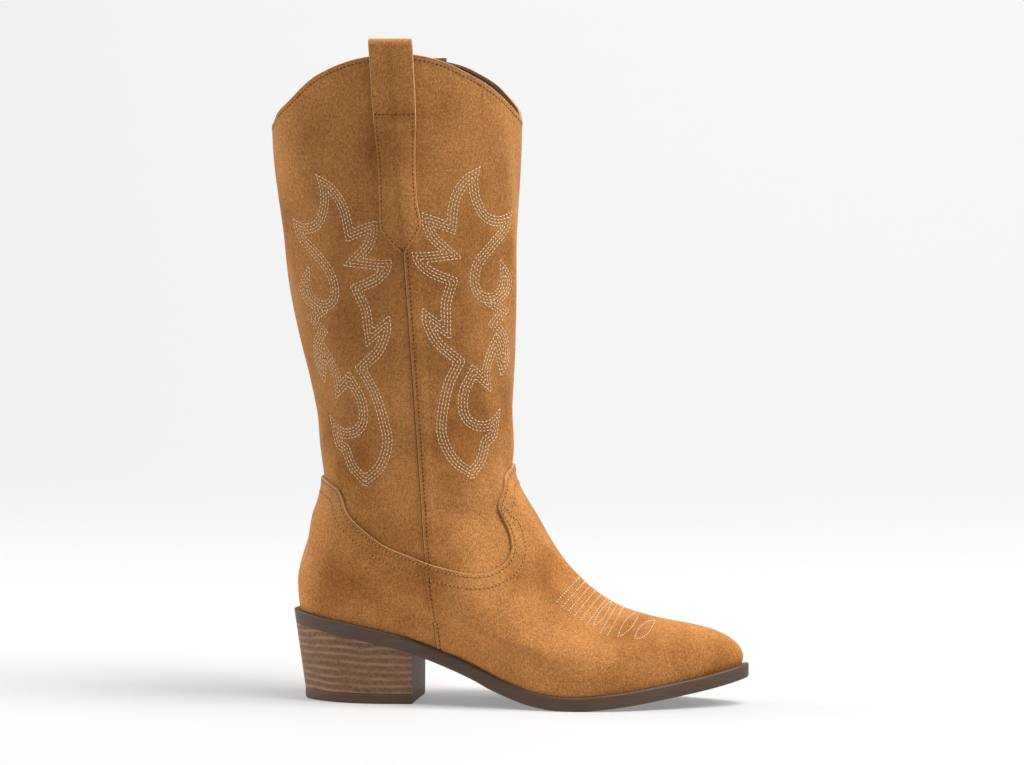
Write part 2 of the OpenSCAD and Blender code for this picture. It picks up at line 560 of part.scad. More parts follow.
function strip(from, to, top, bottom) =
    [for (s = [from, mix(from, to, 0.34), mix(from, to, 0.67), to])
        [for (j = [0:18]) let(h = mix(bottom, top, j / 18)) [zip_turn(h, s), h]]];
tape_top = boot_height + 1.2;
module zip_tape_front() {
    color(lining_black) layer(flip(strip(chain_w / 2 + 0.3, chain_w / 2 + tape_w, tape_top, slit_end - 7)),
        function(f) lining_d, tape_t);
}
module zip_tape_back() {
    color(lining_black) layer(flip(strip(-chain_w / 2 - tape_w, -chain_w / 2 - 0.3, tape_top, slit_end - 7)),
        function(f) lining_d, tape_t);
}
module zip_chain_front() {
    color(zip_metal) at_zip() translate([chain_slot / 2, 0, -chain_t])
        cube([chain_w / 2 - chain_slot / 2, chain_l, chain_t]);
}
module zip_chain_back() {
    color(zip_metal) at_zip() translate([-chain_w / 2, 0, -chain_t])
        cube([chain_w / 2 - chain_slot / 2, chain_l, chain_t]);
}
module zip_top_stops() {
    color(zip_metal) at_zip() for (x = [-chain_w / 2, chain_slot / 2]) translate([x, -2.6, -chain_t - 0.2])
        cube([chain_w / 2 - chain_slot / 2, 2.4, chain_t + 0.4]);
}
module zip_bottom_stop() {
    color(zip_metal) at_zip() translate([-chain_w / 2 + 0.3, chain_l + 0.1, -chain_t])
        cube([chain_w - 0.6, 3, chain_t + 0.2]);
}
module zip_guard() {
    color(lining_black) layer(flip(strip(-chain_w / 2 - tape_w - 2, chain_w / 2 + tape_w + 2, boot_height - 6,
        slit_end - 26)), function(f) chain_t + 2 * run + 1.3, 1);
}
module zip_slider() {
    color(zip_metal) at_zip() {
        translate([-slider_w / 2, 0.6, run]) cube([slider_w, slider_l, plate_t]);
        translate([-slider_w / 2, 0.6, -chain_t - 2 * run - 0.8]) cube([slider_w, slider_l, 0.8]);
        translate([-web_t / 2, 0.6, -chain_t - 2 * run - 0.2])
            cube([web_t, slider_l * 0.45, chain_t + 3 * run + 0.4]);
        for (x = [-2.55, 1.55]) translate([x, pin_y - 1.4, run + plate_t - 0.2]) cube([1, 2.8, pin_z - 0.1]);
        translate([-2.4, pin_y, pin_z]) rotate([0, 90, 0]) cylinder(r = puller_pin_r, h = 4.8, $fn = 24);
    }
}
module zip_puller() {
    color(zip_metal) at_zip() translate([0, pin_y, pin_z]) difference() {
        union() {
            rotate([0, 90, 0]) translate([0, 0, -1.2]) cylinder(r = 1.7, h = 2.4, $fn = 32);
            translate([-1.2, 0, -0.6]) cube([2.4, 5, 1.2]);
            translate([-puller_w / 2, 4, -0.6]) cube([puller_w, puller_l - 4 - puller_w / 2, 1.2]);
            translate([0, puller_l - puller_w / 2, -0.6]) cylinder(r = puller_w / 2, h = 1.2, $fn = 48);
        }
        rotate([0, 90, 0]) translate([0, 0, -3]) cylinder(r = puller_pin_r + 0.08, h = 6, $fn = 24);
        translate([0, puller_l - puller_w / 2, -2]) cylinder(r = 1.4, h = 4, $fn = 32);
    }
}

outsole();
heel_block();
heel_top_lift();
top_lift_pins();
heel_nails();
heel_screw();
shank();
bottom_filler();
insole_board();
sock_lining();
vamp();
heel_counter();
shaft_front();
shaft_back();
toe_puff();
heel_stiffener();
vamp_lining();
heel_lining();
shaft_lining_front();
shaft_lining_back();
pull_strap();
zip_tape_front();
zip_tape_back();
zip_chain_front();
zip_chain_back();
zip_top_stops();
zip_bottom_stop();
zip_guard();
zip_slider();
zip_puller();
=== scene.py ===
"""A suede western boot dressed on its fixed frame. Panels, sole and threads follow the same form as the frame."""
import math

import bpy
import numpy as np
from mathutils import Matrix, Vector
from mathutils.bvhtree import BVHTree


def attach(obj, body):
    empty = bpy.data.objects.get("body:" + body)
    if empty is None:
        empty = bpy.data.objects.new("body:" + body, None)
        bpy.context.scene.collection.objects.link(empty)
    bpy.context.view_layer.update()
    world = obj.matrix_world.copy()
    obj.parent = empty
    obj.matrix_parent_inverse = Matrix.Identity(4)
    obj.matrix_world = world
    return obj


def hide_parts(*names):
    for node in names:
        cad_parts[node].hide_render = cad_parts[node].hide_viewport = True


bl_info = {
    "name": "Western Boot",
    "version": (1, 0, 0),
    "blender": (4, 5, 0),
    "location": "3D View > Sidebar > Boot",
    "description": "Suede panels, threads, sole, heel and zip of a western boot",
    "category": "Object",
}

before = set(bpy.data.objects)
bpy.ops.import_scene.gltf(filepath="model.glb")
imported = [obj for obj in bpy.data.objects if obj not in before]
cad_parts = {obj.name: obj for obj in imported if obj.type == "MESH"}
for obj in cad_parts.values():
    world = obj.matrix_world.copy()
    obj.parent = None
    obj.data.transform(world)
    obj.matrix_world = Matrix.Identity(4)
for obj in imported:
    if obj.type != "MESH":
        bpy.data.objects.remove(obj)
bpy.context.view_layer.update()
MM = 0.001

# ---- the form, in millimetres: x to the toe, z up, -y to the outer side ----
KNEE = 120.0              # loops of the form are level from here up
HEIGHT = 399.5
DIP = 40.0
SHAFT_WIDTH = 100.8
KNEE_HALF = 36.9
SOLE_EDGE, TOE_EDGE, BACK_EDGE = 2.2, 2.2, 1.6     # the outsole stands out all round, and more at each end
BALL_WIDTH, BOOT_LENGTH = 91, 284.7
BALL_FIT = (BALL_WIDTH - 2 * SOLE_EDGE) / 86.2
LENGTH_FIT = (BOOT_LENGTH - 2 * SOLE_EDGE - TOE_EDGE - BACK_EDGE) / 276.5
SUEDE = 1.4
LAYER_GAP = 0.45
LINING = 0.8
OVER = SUEDE + LAYER_GAP
FOOT_LINING_D = OVER + 1.2 + LAYER_GAP
UNDERLAP = 9.0
SOLE_T = 8.7
TOE_SWING = 5.0
TOP_LIFT = 6.5
BREAST = 35.7
FRONT = [(25, 237), (30, 238), (36, 235.5), (42, 228.5), (47, 217), (50, 203), (53, 185.5), (58.5, 165.5),
         (67.5, 149), (82.5, 133), (105, 115), (127, 101), (142, 94.8), (157, 94.5), (200, 95),
         (280, 97.6), (358, 100.4), (430, 101.5)]
BACK = [(56, -39.5), (66, -40.6), (74, -40.8), (82, -39.6), (96, -35.9), (111, -30.7), (126, -25.8),
        (138, -24), (150, -24.6), (170, -26.9), (200, -31.8), (230, -39.2), (260, -45.5), (300, -50.8),
        (344, -55.6), (430, -58.5)]
SEAT = [(-42, 56.5), (-20, 53), (0, 49.3), (18, 45.5), (35, 41), (60, 32), (76, 25.5), (90, 18.8),
        (106, 12.9), (118, 10.1), (130, 8.8), (143, 8.7), (169, 11.4), (195, 15.7), (220, 20.5), (245, 27)]
FEATHER_OUTER = [(0, 46), (0.1, 45), (0.3, 30), (0.45, 34), (0.62, 46), (0.75, 46), (0.88, 38), (1, 28)]
FEATHER_INNER = [(0, 46), (0.1, 45), (0.3, 26), (0.45, 30), (0.62, 42), (0.75, 42), (0.88, 35), (1, 26)]
EGG = [(110, 0.14), (150, 0.1), (220, 0.05), (300, 0)]
TOPLINE = [(0, 1.06), (0.1, 0.99), (0.15, 0.85), (0.217, 0.67), (0.315, 0.32), (0.425, 0.085), (0.53, 0),
           (0.58, 0.01), (0.647, 0.1), (0.704, 0.24), (0.768, 0.41), (0.846, 0.64), (0.93, 0.84), (1, 0.98)]
SEAM_TOP, SEAM_SLOPE = 26.5, 0.0615
ZIP_TOP, ZIP_SLOPE = 30.5, 0.052
SEAM_FOOT = 0.389
SEAM_HEAD = (0.503, 85)
VAMP_CURVE = [SEAM_HEAD, (0.55, 83), (0.588, 81), (0.625, 79.5), (0.66, 80), (0.7, 83.5), (0.734, 89.5),
              (0.758, 97.4), (0.773, 108), (0.774, 121.6)]
VAMP_NOTCH = [(0.774, 121.6), (0.793, 126), (0.816, 129.4), (0.853, 135.5), (0.876, 139.7)]
VAMP_PEAK = [(0.876, 139.7), (0.93, 143), (1, 148)]
COUNTER_CURVE = [SEAM_HEAD, (0.476, 86.4), (0.439, 88.1), (0.4, 91.4), (0.359, 98.2), (0.311, 109.2),
                 (0.276, 120.3), (0.25, 128.4), (0.231, 133.2)]
COUNTER_PEAK = [(0.231, 133.2), (0.169, 136.8), (0.098, 138.7), (0, 139.5)]
SLIT, SLIT_END = 5.6, 136.0
SLIT_EARLY, LINING_EARLY = 18, 38     # how far under the slit's end the suede and the linings begin to part
SEAM_GAP = 0.1
LINING_DROP, LINING_RISE = 1.5, 0.6   # how far the linings keep under the rim and above the style line
CHAIN_HALF, TAPE_EDGE = 3.1, 16.0     # from the zip's middle to a tape's two edges
LAP = 0.85                # how far the front panels stand out where they lap over the back ones
ROW_IN, SECOND_ROW = 2.4, 9.4         # from an edge to its first and second row of stitches
RIM_ROW, ZIP_ROW, STRAP_ROW = 2.9, 2.2, 1.9
STRAP_BACK = [(0, -12.3), (0.3, -12.6), (0.54, -11.6), (0.74, -12.4), (0.86, -13), (0.9, -11.8), (0.98, -4.2),
              (1, -1.6)]
STRAP_FRONT = [(0, 14.2), (0.3, 13.4), (0.54, 11), (0.74, 10.6), (0.85, 11.8), (0.89, 10.6), (0.97, 3.6),
               (1, 1.2)]
STRAP_TIP, CROSS_ROW = 284.0, 363.0   # the seam's row ends under the strap's tip
STRAP_T, STRAP_LEG, STRAP_INNER_LEG, STRAP_RISE = 2.0, 118.5, 55.0, 9.5

# One flame of the embroidery: strokes of (millimetres in front of the seam, height). Its rows lie to the left.
FLAME = [
    [(51, 331), (41, 326), (34, 318), (30, 309), (28, 298)], [(28, 298), (20, 301), (13, 303)],
    [(13, 303), (13, 295), (17, 286), (23, 280)], [(23, 280), (14, 279), (5, 279)],
    [(5, 279), (7, 272), (14, 265), (25, 260)], [(25, 260), (21, 249), (20, 237)], [(20, 237), (9, 245)],
    [(9, 245), (9, 235), (15, 222), (26, 212)],
    [(26, 212), (19, 199), (14, 181), (13, 166), (20, 150), (33, 140)],
    [(33, 140), (42, 150), (46, 161)], [(46, 161), (52, 166), (57, 183)],
    [(57, 183), (47, 176), (38, 176), (33, 182), (34, 193), (39, 202)], [(39, 202), (45, 197), (50, 194)],
    [(50, 194), (50, 206), (55, 217)], [(55, 217), (57, 210), (59, 203)],
    [(59, 203), (66, 212), (67, 222), (64, 230)], [(64, 230), (59, 235)], [(59, 235), (64, 240), (69, 243)],
    [(69, 243), (60, 248)], [(60, 248), (69, 254), (72, 262), (68, 269), (62, 275)],
    [(62, 275), (62, 262), (57, 255), (50, 254), (46, 259), (48, 270), (58, 281), (70, 292), (74, 304)],
    [(74, 304), (64, 301), (55, 303), (50, 312), (49, 322), (51, 331)],
]


def mix(a, b, t):
    return a + (b - a) * t


def ease(t):
    t = np.clip(t, 0, 1)
    return t * t * (3 - 2 * t)


def curve(points, key):
    """Smooth curve through (key, value) points, level beyond its ends."""
    k, v = np.array(points, float).T
    m = np.empty(len(k))
    m[1:-1] = (v[2:] - v[:-2]) / (k[2:] - k[:-2])
    m[0], m[-1] = (v[1] - v[0]) / (k[1] - k[0]), (v[-1] - v[-2]) / (k[-1] - k[-2])
    key = np.clip(key, k[0], k[-1])
    i = np.clip(np.searchsorted(k, key, side="right") - 1, 0, len(k) - 2)
    h = k[i + 1] - k[i]
    t = (key - k[i]) / h
    return ((2 * t**3 - 3 * t**2 + 1) * v[i] + (t**3 - 2 * t**2 + t) * h * m[i]
            + (3 * t**2 - 2 * t**3) * v[i + 1] + (t**3 - t**2) * h * m[i + 1])


def trace(points, steps):
    """steps + 1 plane points along a smooth line through plane points."""
    k = np.arange(len(points))
    t = np.linspace(0, len(points) - 1, steps + 1)
    x, y = zip(*points)
    return np.stack([curve(list(zip(k, x)), t), curve(list(zip(k, y)), t)], -1)


def front_x(z):
    return LENGTH_FIT * curve(FRONT, z)


def back_x(z):
    return LENGTH_FIT * curve(BACK, z)


def seat_z(x):
    return curve(SEAT, np.asarray(x) / LENGTH_FIT)


def share_at(x, z):
    return np.arccos(1 - 2 * (x - back_x(z)) / (front_x(z) - back_x(z))) / math.pi


def seam_share(z, s=0.0):
    return share_at(LENGTH_FIT * (SEAM_TOP + SEAM_SLOPE * (HEIGHT - z)) + s, z)


def zip_share(z, s=0.0):
    return share_at(LENGTH_FIT * (ZIP_TOP + ZIP_SLOPE * (HEIGHT - z)) + s, z)


def below_knee(share, h, s):
    """Above the knee the line's own share; below it, a straight run to the head of the vamp's seam."""
    z = np.maximum(h, KNEE)
    k0 = share(KNEE)
    low = mix(SEAM_HEAD[0], k0, (h - SEAM_HEAD[1]) / (KNEE - SEAM_HEAD[1])) + share(KNEE, s) - k0
    return np.where(h >= KNEE, share(z, s), low)


def seam_turn(h, s=0.0):
    return below_knee(seam_share, np.asarray(h, float), s)


def zip_turn(h, s=0.0):
    return 2 - below_knee(zip_share, np.asarray(h, float), s)


def egg(u, z):
    return 1 + curve(EGG, z) * np.cos(math.pi * u)


def shaft_half(z):
    u = zip_share(z)
    return mix(KNEE_HALF, SHAFT_WIDTH / 2, (z - KNEE) / (HEIGHT - KNEE)) / np.sin(math.pi * u) / egg(u, z)


def slump(a, h):
    """Soft waves that broken-in suede keeps, none of them near the zip."""
    calm = ease(np.abs(np.mod(a, 2) - 1.5) / 0.25 - 0.3) * ease((h - 20) / 60)
    ankle = np.exp(-((h - 150) / 38) ** 2)
    wide = 0.8 * np.sin(h / 23 + 5 * np.sin(2.3 * math.pi * a)) * np.sin(3 * math.pi * a + h / 60)
    folds = 0.9 * ankle * np.sin(h / 8.5 + 2.2 * np.sin(math.pi * a * 2 + 0.6))
    return calm * (wide + folds * 0.75)


def form(a, h):
    """Point of the form at turn a (0 back, 0.5 outer side, 1 front, 1.5 inner side) and level h."""
    a, h = np.broadcast_arrays(np.mod(np.asarray(a, float), 2), np.asarray(h, float))
    outer = a < 1
    u = np.where(outer, a, 2 - a)
    c = (1 - np.cos(math.pi * u)) / 2
    t = np.minimum(h / KNEE, 1)
    foot = h < KNEE
    xb = LENGTH_FIT * curve(BACK, np.where(foot, mix(BACK[0][0], KNEE, t), h))
    xf = LENGTH_FIT * curve(FRONT, np.where(foot, mix(FRONT[0][0], KNEE, t), h))
    fx = LENGTH_FIT * mix(BACK[0][1], FRONT[0][1], c)
    pin = ((1 - c) * (BACK[0][0] - seat_z(LENGTH_FIT * BACK[0][1]))
           + c * (FRONT[0][0] - seat_z(LENGTH_FIT * FRONT[0][1])))
    z = np.where(foot, mix(seat_z(fx) + pin, KNEE, t), h)
    k = np.maximum(h, KNEE)
    feather = BALL_FIT * np.where(outer, curve(FEATHER_OUTER, c), curve(FEATHER_INNER, c))
    full = 1 + 0.45 * t * (1 - t) ** 4
    half = np.sin(math.pi * u) * mix(feather * full, shaft_half(k) * egg(u, k), np.maximum(t, 0) ** 1.3)
    y = np.where(outer, -half, half) + TOE_SWING * c**3 * (1 - t)
    return np.stack([mix(xb, xf, c), y, z], -1)


def normal(a, h):
    da, low = 0.004, np.maximum(np.asarray(h, float) - 0.4, 0)
    v = np.cross(form(a + da, h) - form(a - da, h), form(a, low + 0.8) - form(a, low))
    return v / np.linalg.norm(v, axis=-1, keepdims=True)


def under(a, h, d):
    """Point at depth d under the form, minus for outside, with the soft waves of the suede."""
    a, h = np.broadcast_arrays(np.asarray(a, float), np.asarray(h, float))
    return form(a, h) + (slump(a, h) - d)[..., None] * normal(a, h)


def topline(a):
    a = np.mod(a, 2)
    return HEIGHT - DIP * curve(TOPLINE, np.where(a < 1, a, 2 - a))


# ---- grids of the panels: arrays of turn and level ----
FINE = 4                  # columns of a panel to each column of the frame's


def mirrored(points):
    return np.stack([2 - points[::-1, 0], points[::-1, 1]], -1)


def vamp_edge():
    side = np.concatenate([trace(VAMP_CURVE, 11 * FINE), trace(VAMP_NOTCH, 4 * FINE)[1:],
                           trace(VAMP_PEAK, 4 * FINE)[1:]])
    return np.concatenate([side, mirrored(side)[1:]])


def counter_edge():
    side = np.concatenate([trace(COUNTER_CURVE, 9 * FINE), trace(COUNTER_PEAK, 4 * FINE)[1:]])
    return np.concatenate([side * (-1, 1), side[::-1][1:]])


def shares(rows, ends=(0.0008, 0.002, 0.004), power=1.0):
    """Even shares from 0 to 1, or closer together at the start, with a few extra next to both ends."""
    f = np.linspace(0, 1, rows + 1) ** power
    return np.unique(np.concatenate([f, ends, 1 - np.array(ends)]))


def with_ends(columns):
    """Extra columns next to a panel's two side edges, for its rounded rim."""
    n = len(columns) - 1
    at = np.unique(np.concatenate([np.arange(n + 1), [0.08, 0.25, 0.5], n - np.array([0.08, 0.25, 0.5])]))
    return np.stack([np.interp(at, np.arange(n + 1), columns[:, k]) for k in range(columns.shape[1])], -1)


def side_share(h):
    """The side seam of vamp and counter, straight in the side view, as a share at a level."""
    h = np.clip(h, -1, SEAM_HEAD[1])
    x0, x1 = form(SEAM_FOOT, 0)[0], form(*SEAM_HEAD)[0]
    b, f = form(0, h)[..., 0], form(1, h)[..., 0]
    return np.arccos(1 - 2 * (mix(x0, x1, h / SEAM_HEAD[1]) - b) / (f - b)) / math.pi


def foot_grid(low, high, rows, power, placed):
    """Columns from foot to edge. Turns are kept as shares of the way between the side seams."""
    both = with_ends(np.concatenate([low, high], 1))
    f = shares(rows, power=power)
    h = mix(both[:, None, 1], both[:, None, 3], f)
    return placed(mix(both[:, None, 0], both[:, None, 2], f), side_share(h)), h, f


def vamp_grid():
    high = vamp_edge()
    k = np.linspace(-1, 1, len(high))
    low = 0.5 + 0.5 * np.sign(k) * np.abs(k) ** 1.15
    top = (high[:, 0] - SEAM_HEAD[0]) / (2 - 2 * SEAM_HEAD[0])
    return foot_grid(np.stack([low, np.full(len(k), -0.6)], -1), np.stack([top, high[:, 1]], -1), 64, 1.25,
                     lambda k, s: mix(s, 2 - s, k))


def counter_grid():
    high = counter_edge()
    k = np.linspace(-1, 1, len(high))
    return foot_grid(np.stack([k, np.full(len(k), -0.6)], -1),
                     np.stack([high[:, 0] / SEAM_HEAD[0], high[:, 1]], -1), 56, 1.15,
                     lambda k, s: (s - 0.001) * k)


def slit_half(h, open_half, lined):
    """Half of the zip's opening at a level. The linings part lower down than the suede."""
    early = LINING_EARLY if lined else SLIT_EARLY
    return mix(SEAM_GAP, open_half, np.clip((h - SLIT_END + early) / 14, 0, 1))


def shaft_grid(edge, left, right, top_left, top_right, lined):
    """A shaft panel. left and right give the turn of its side edges at a level."""
    edge = with_ends(edge)
    h0 = edge[:, 1]
    a, b = left(h0, 0), right(h0, 0)
    k = np.clip((edge[:, 0] - a) / (b - a), 0, 1)
    top = topline(mix(top_left, top_right, k)) - (LINING_DROP if lined else 0)
    f = shares(110, ends=(0.0004, 0.001, 0.002))
    start = h0 - UNDERLAP
    if lined:
        wide = np.maximum(h0 + 12, SLIT_END - 22)
        beside = mix(left(wide, 1), right(wide, 1), k)
        start = np.maximum(h0, np.interp(beside, edge[:, 0], edge[:, 1])) + LINING_RISE
    h = mix(start[:, None], top[:, None], f)
    return mix(left(h, 1), right(h, 1), k[:, None]), h, f


def front_grid(open_half, lined=False):
    return shaft_grid(vamp_edge(), lambda h, on: seam_turn(h, SEAM_GAP * on),
                      lambda h, on: zip_turn(h, slit_half(h, open_half, lined) if on else 0.0),
                      seam_turn(HEIGHT), zip_turn(HEIGHT, open_half), lined)


def back_grid(open_half, lined=False):
    return shaft_grid(counter_edge(),
                      lambda h, on: zip_turn(h, -slit_half(h, open_half, lined) if on else 0.0) - 2,
                      lambda h, on: seam_turn(h, -SEAM_GAP * on),
                      zip_turn(HEIGHT, -open_half) - 2, seam_turn(HEIGHT), lined)


def cover_depth(f):
    """Depth of vamp and counter: on the form at the foot, out over the shaft panels at the top."""
    return -OVER * ease((f - 0.5) / 0.32)


def foot_lining_depth(f):
    """Depth of the foot's linings: inside puff and stiffener at the foot, level with the shaft's at the top."""
    return mix(FOOT_LINING_D, OVER, ease((f - 0.5) / 0.32))


# ---- meshes ----
PIECES = {}


def run_length(points, axis):
    step = np.linalg.norm(np.diff(points, axis=axis), axis=-1)
    zero = np.zeros_like(np.take(step, [0], axis))
    return np.concatenate([zero, np.cumsum(step, axis)], axis)


def edge_distances(points):
    """Millimetres from each grid point to the first and last column and the first and last row."""
    c, r = run_length(points, 0), run_length(points, 1)
    return c, c[-1:] - c, r, r[:, -1:] - r


def make_object(name, points, faces, materials, smooth_angle=50):
    mesh = bpy.data.meshes.new(name)
    mesh.from_pydata((np.asarray(points) * MM).tolist(), [], faces)
    for m in materials:
        mesh.materials.append(m)
    mesh.validate()
    mesh.shade_smooth()
    mesh.set_sharp_from_angle(angle=math.radians(smooth_angle))
    obj = bpy.data.objects.new(name, mesh)
    bpy.context.scene.collection.objects.link(obj)
    turn_out(mesh)
    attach(obj, "boot")
    return obj


def turn_out(mesh):
    """A closed mesh that holds less than nothing is inside out, and is flipped."""
    mesh.calc_loop_triangles()
    v = np.empty(len(mesh.vertices) * 3)
    mesh.vertices.foreach_get("co", v)
    t = np.empty(len(mesh.loop_triangles) * 3, int)
    mesh.loop_triangles.foreach_get("vertices", t)
    p = v.reshape(-1, 3)[t.reshape(-1, 3)]
    if np.einsum("ij,ij->i", p[:, 0], np.cross(p[:, 1], p[:, 2])).sum() < 0:
        mesh.flip_normals()


def slab_faces(m, n):
    """Quads of a closed slab between two m by n grids, and how many of them are its rim."""
    i, j = np.meshgrid(np.arange(m - 1), np.arange(n - 1), indexing="ij")
    a, b, c, d = i * n + j, (i + 1) * n + j, (i + 1) * n + j + 1, i * n + j + 1
    outer = np.stack([a, b, c, d], -1).reshape(-1, 4)
    k = m * n
    ring = np.concatenate([np.arange(m) * n, (m - 1) * n + np.arange(1, n),
                           np.arange(m - 2, -1, -1) * n + n - 1, np.arange(n - 2, 0, -1)])
    nxt = np.roll(ring, -1)
    rim = np.stack([nxt, ring, ring + k, nxt + k], -1)
    return np.concatenate([outer, outer[:, ::-1] + k, rim]).tolist(), len(rim)


def panel(name, grid, depth, thick, materials, replaces, lap=None, grooves=(), rim=0.45, pale=(0, 1, 3)):
    """A panel of the upper. materials are its faces' and its cut edge's, the cut edge's also a painted highlight,
    and pale lists the edges whose outer faces get a band of that painted highlight.
    lap gives extra depth by distances, and grooves are (side, distance, depth) where a row sinks in."""
    a, h, _ = grid
    base = form(a, h)
    dist = edge_distances(base)
    near = np.minimum.reduce(dist)
    d = depth + (lap(dist) if lap else 0)
    for side, at, deep in grooves:
        d = d + deep * np.exp(-((dist[side] - at) / 0.7) ** 2)
    r = np.clip(near / rim, 0, 1)
    rounding = rim * (1 - np.sqrt(1 - (1 - r) ** 2))
    outer = under(a, h, d + rounding)
    inner = under(a, h, d + thick)
    faces, rims = slab_faces(*a.shape)
    obj = make_object(name, np.concatenate([outer.reshape(-1, 3), inner.reshape(-1, 3)]), faces, materials)
    if len(materials) > 1:
        # The rim, and a band of outer faces next to the edges in pale, get the cut edge material: partly the raw
        # edge's colour, partly painted highlight.
        rim_and_painted_highlight(obj, np.minimum.reduce([dist[side] for side in pale]), len(faces), rims, 0.42)
    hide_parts(replaces)
    PIECES[name] = outer
    return obj


def rim_and_painted_highlight(obj, near, count, rims, width):
    """Gives a slab's rim, and its outer faces nearer than width to the rim, the cut edge's material: on the rim
    partly its raw colour, on the band a painted highlight where the edge catches light.
    """
    index = np.zeros(count, int)
    index[-rims:] = 1
    middle = (near[:-1, :-1] + near[1:, :-1] + near[:-1, 1:] + near[1:, 1:]).ravel() / 4
    index[: len(middle)] = middle < width
    obj.data.polygons.foreach_set("material_index", index)


def ring_stack(name, rings, materials, replaces, smooth_angle=40):
    """A closed solid through rings of points, each symmetric about its first point, zipped shut at both ends."""
    n = len(rings[0])
    faces = []
    for first in range(0, (len(rings) - 1) * n, n):
        for i in range(n):
            j = (i + 1) % n
            faces.append((first + i, first + j, first + n + j, first + n + i))
    for first, flip in ((0, True), ((len(rings) - 1) * n, False)):
        for i in range(n // 2):
            q = [first + i, first + i + 1, first + (n - i - 1) % n, first + (n - i) % n]
            q = list(dict.fromkeys(q))
            if len(q) > 2:
                faces.append(tuple(q[::-1] if flip else q))
    obj = make_object(name, np.concatenate(rings), faces, materials, smooth_angle)
    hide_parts(replaces)
    return obj


# ---- materials ----
def shader(name, colour, roughness, **sockets):
    """A new Principled material. Its single values are set on the shader's own sockets."""
    m = bpy.data.materials.new(name)
    m.use_nodes = True
    p = m.node_tree.nodes["Principled BSDF"]
    p.inputs["Base Color"].default_value = (*colour[:3], 1)
    p.inputs["Roughness"].default_value = roughness
    for key, value in sockets.items():
        p.inputs[key.replace("_", " ")].default_value = value
    return m, m.node_tree, p


def node(tree, kind, links=(), **values):
    """Adds a node, sets its properties or input values by name, and links (input, output socket) pairs."""
    n = tree.nodes.new(kind)
    for key, value in values.items():
        if hasattr(n, key):
            setattr(n, key, value)
        else:
            n.inputs[key].default_value = value
    for key, source in links:
        tree.links.new(source, n.inputs[key])
    return n


def noise(tree, scale, detail=2.0, stretch=(1, 1, 1), rough=0.5):
    """Noise on Object coordinates, stretched along the axes."""
    place = node(tree, "ShaderNodeTexCoord")
    mapped = node(tree, "ShaderNodeMapping", [("Vector", place.outputs["Object"])], Scale=stretch)
    return node(tree, "ShaderNodeTexNoise", [("Vector", mapped.outputs[0])], Scale=scale, Detail=detail,
                Roughness=rough).outputs["Fac"]


def ramp(tree, source, stops):
    n = node(tree, "ShaderNodeValToRGB", [("Fac", source)])
    e = n.color_ramp.elements
    while len(e) < len(stops):
        e.new(0.5)
    for item, (at, colour) in zip(e, stops):
        item.position, item.color = at, (*colour, 1)
    return n.outputs[0]


def blend_colour(tree, a, b, amount, mode="MIX"):
    n = node(tree, "ShaderNodeMix", data_type="RGBA", blend_type=mode)
    for socket, source in ((n.inputs[0], amount), (n.inputs[6], a), (n.inputs[7], b)):
        if isinstance(source, bpy.types.NodeSocket):
            tree.links.new(source, socket)
        else:
            socket.default_value = source if isinstance(source, (int, float)) else (*source[:3], 1)
    return n.outputs[2]


def bump(tree, p, height, strength, distance):
    b = node(tree, "ShaderNodeBump", [("Height", height)], Strength=strength, Distance=distance)
    tree.links.new(b.outputs[0], p.inputs["Normal"])


def scaled(colour, k):
    return tuple(min(c * k, 1) for c in colour[:3])


def grey(k):
    return (k, k, k)


def suede_material(name, colour):
    """Soft clouds over a fine nap, with painted light and shade by height: the foot painted paler and the middle
    of the shaft painted darker.
    """
    m, t, p = shader(name, colour, 0.95, Sheen_Weight=0.3, Sheen_Roughness=0.35,
                     Sheen_Tint=(1.0, 0.72, 0.42, 1), Specular_IOR_Level=0.1)
    shade = [a * b for a, b in zip(colour, (0.66, 0.57, 0.47))]
    cloud = ramp(t, noise(t, 22, 4, (1, 1, 0.8)), [(0.3, shade), (0.5, colour[:3]), (0.72, scaled(colour, 1.24))])
    nap = ramp(t, noise(t, 560, 3, (1, 1, 0.8)), [(0.36, (0.7, 0.62, 0.54)), (0.62, grey(1.14))])
    fibre = noise(t, 1300, 2, (1, 1, 0.7), 0.7)
    speck = ramp(t, fibre, [(0.38, (0.5, 0.43, 0.36)), (0.6, grey(1.25))])
    # Painted light and shade by height on the object's Z: paler on the foot, darker on the middle of the shaft,
    # standing in for how light falls.
    split = node(t, "ShaderNodeSeparateXYZ", [("Vector", node(t, "ShaderNodeTexCoord").outputs["Object"])])
    level = node(t, "ShaderNodeMapRange", [("Value", split.outputs["Z"])])
    level.inputs["From Max"].default_value = 0.42
    wear_and_painted_light = ramp(t, level.outputs[0], [(0.2, (1.22, 1.2, 1.18)), (0.3, grey(1.1)), (0.42, grey(0.9)),
                                      (0.72, grey(0.9)), (0.95, grey(1.0))])
    cloud = blend_colour(t, cloud, wear_and_painted_light, 1.0, "MULTIPLY")
    full = blend_colour(t, blend_colour(t, cloud, nap, 0.4, "MULTIPLY"), speck, 0.6, "MULTIPLY")
    t.links.new(full, p.inputs["Base Color"])
    bump(t, p, fibre, 0.45, 0.0008)
    return m


def cut_edge_and_highlight_material(colour):
    # The raw edge's colour, lightened as a painted highlight for the edge catching light.
    m, t, p = shader("suede_cut_edge_and_highlight", colour, 0.9, Sheen_Weight=0.2)
    grain = ramp(t, noise(t, 700, 2), [(0.3, scaled(colour, 0.75)), (0.7, scaled(colour, 1.15))])
    t.links.new(grain, p.inputs["Base Color"])
    return m


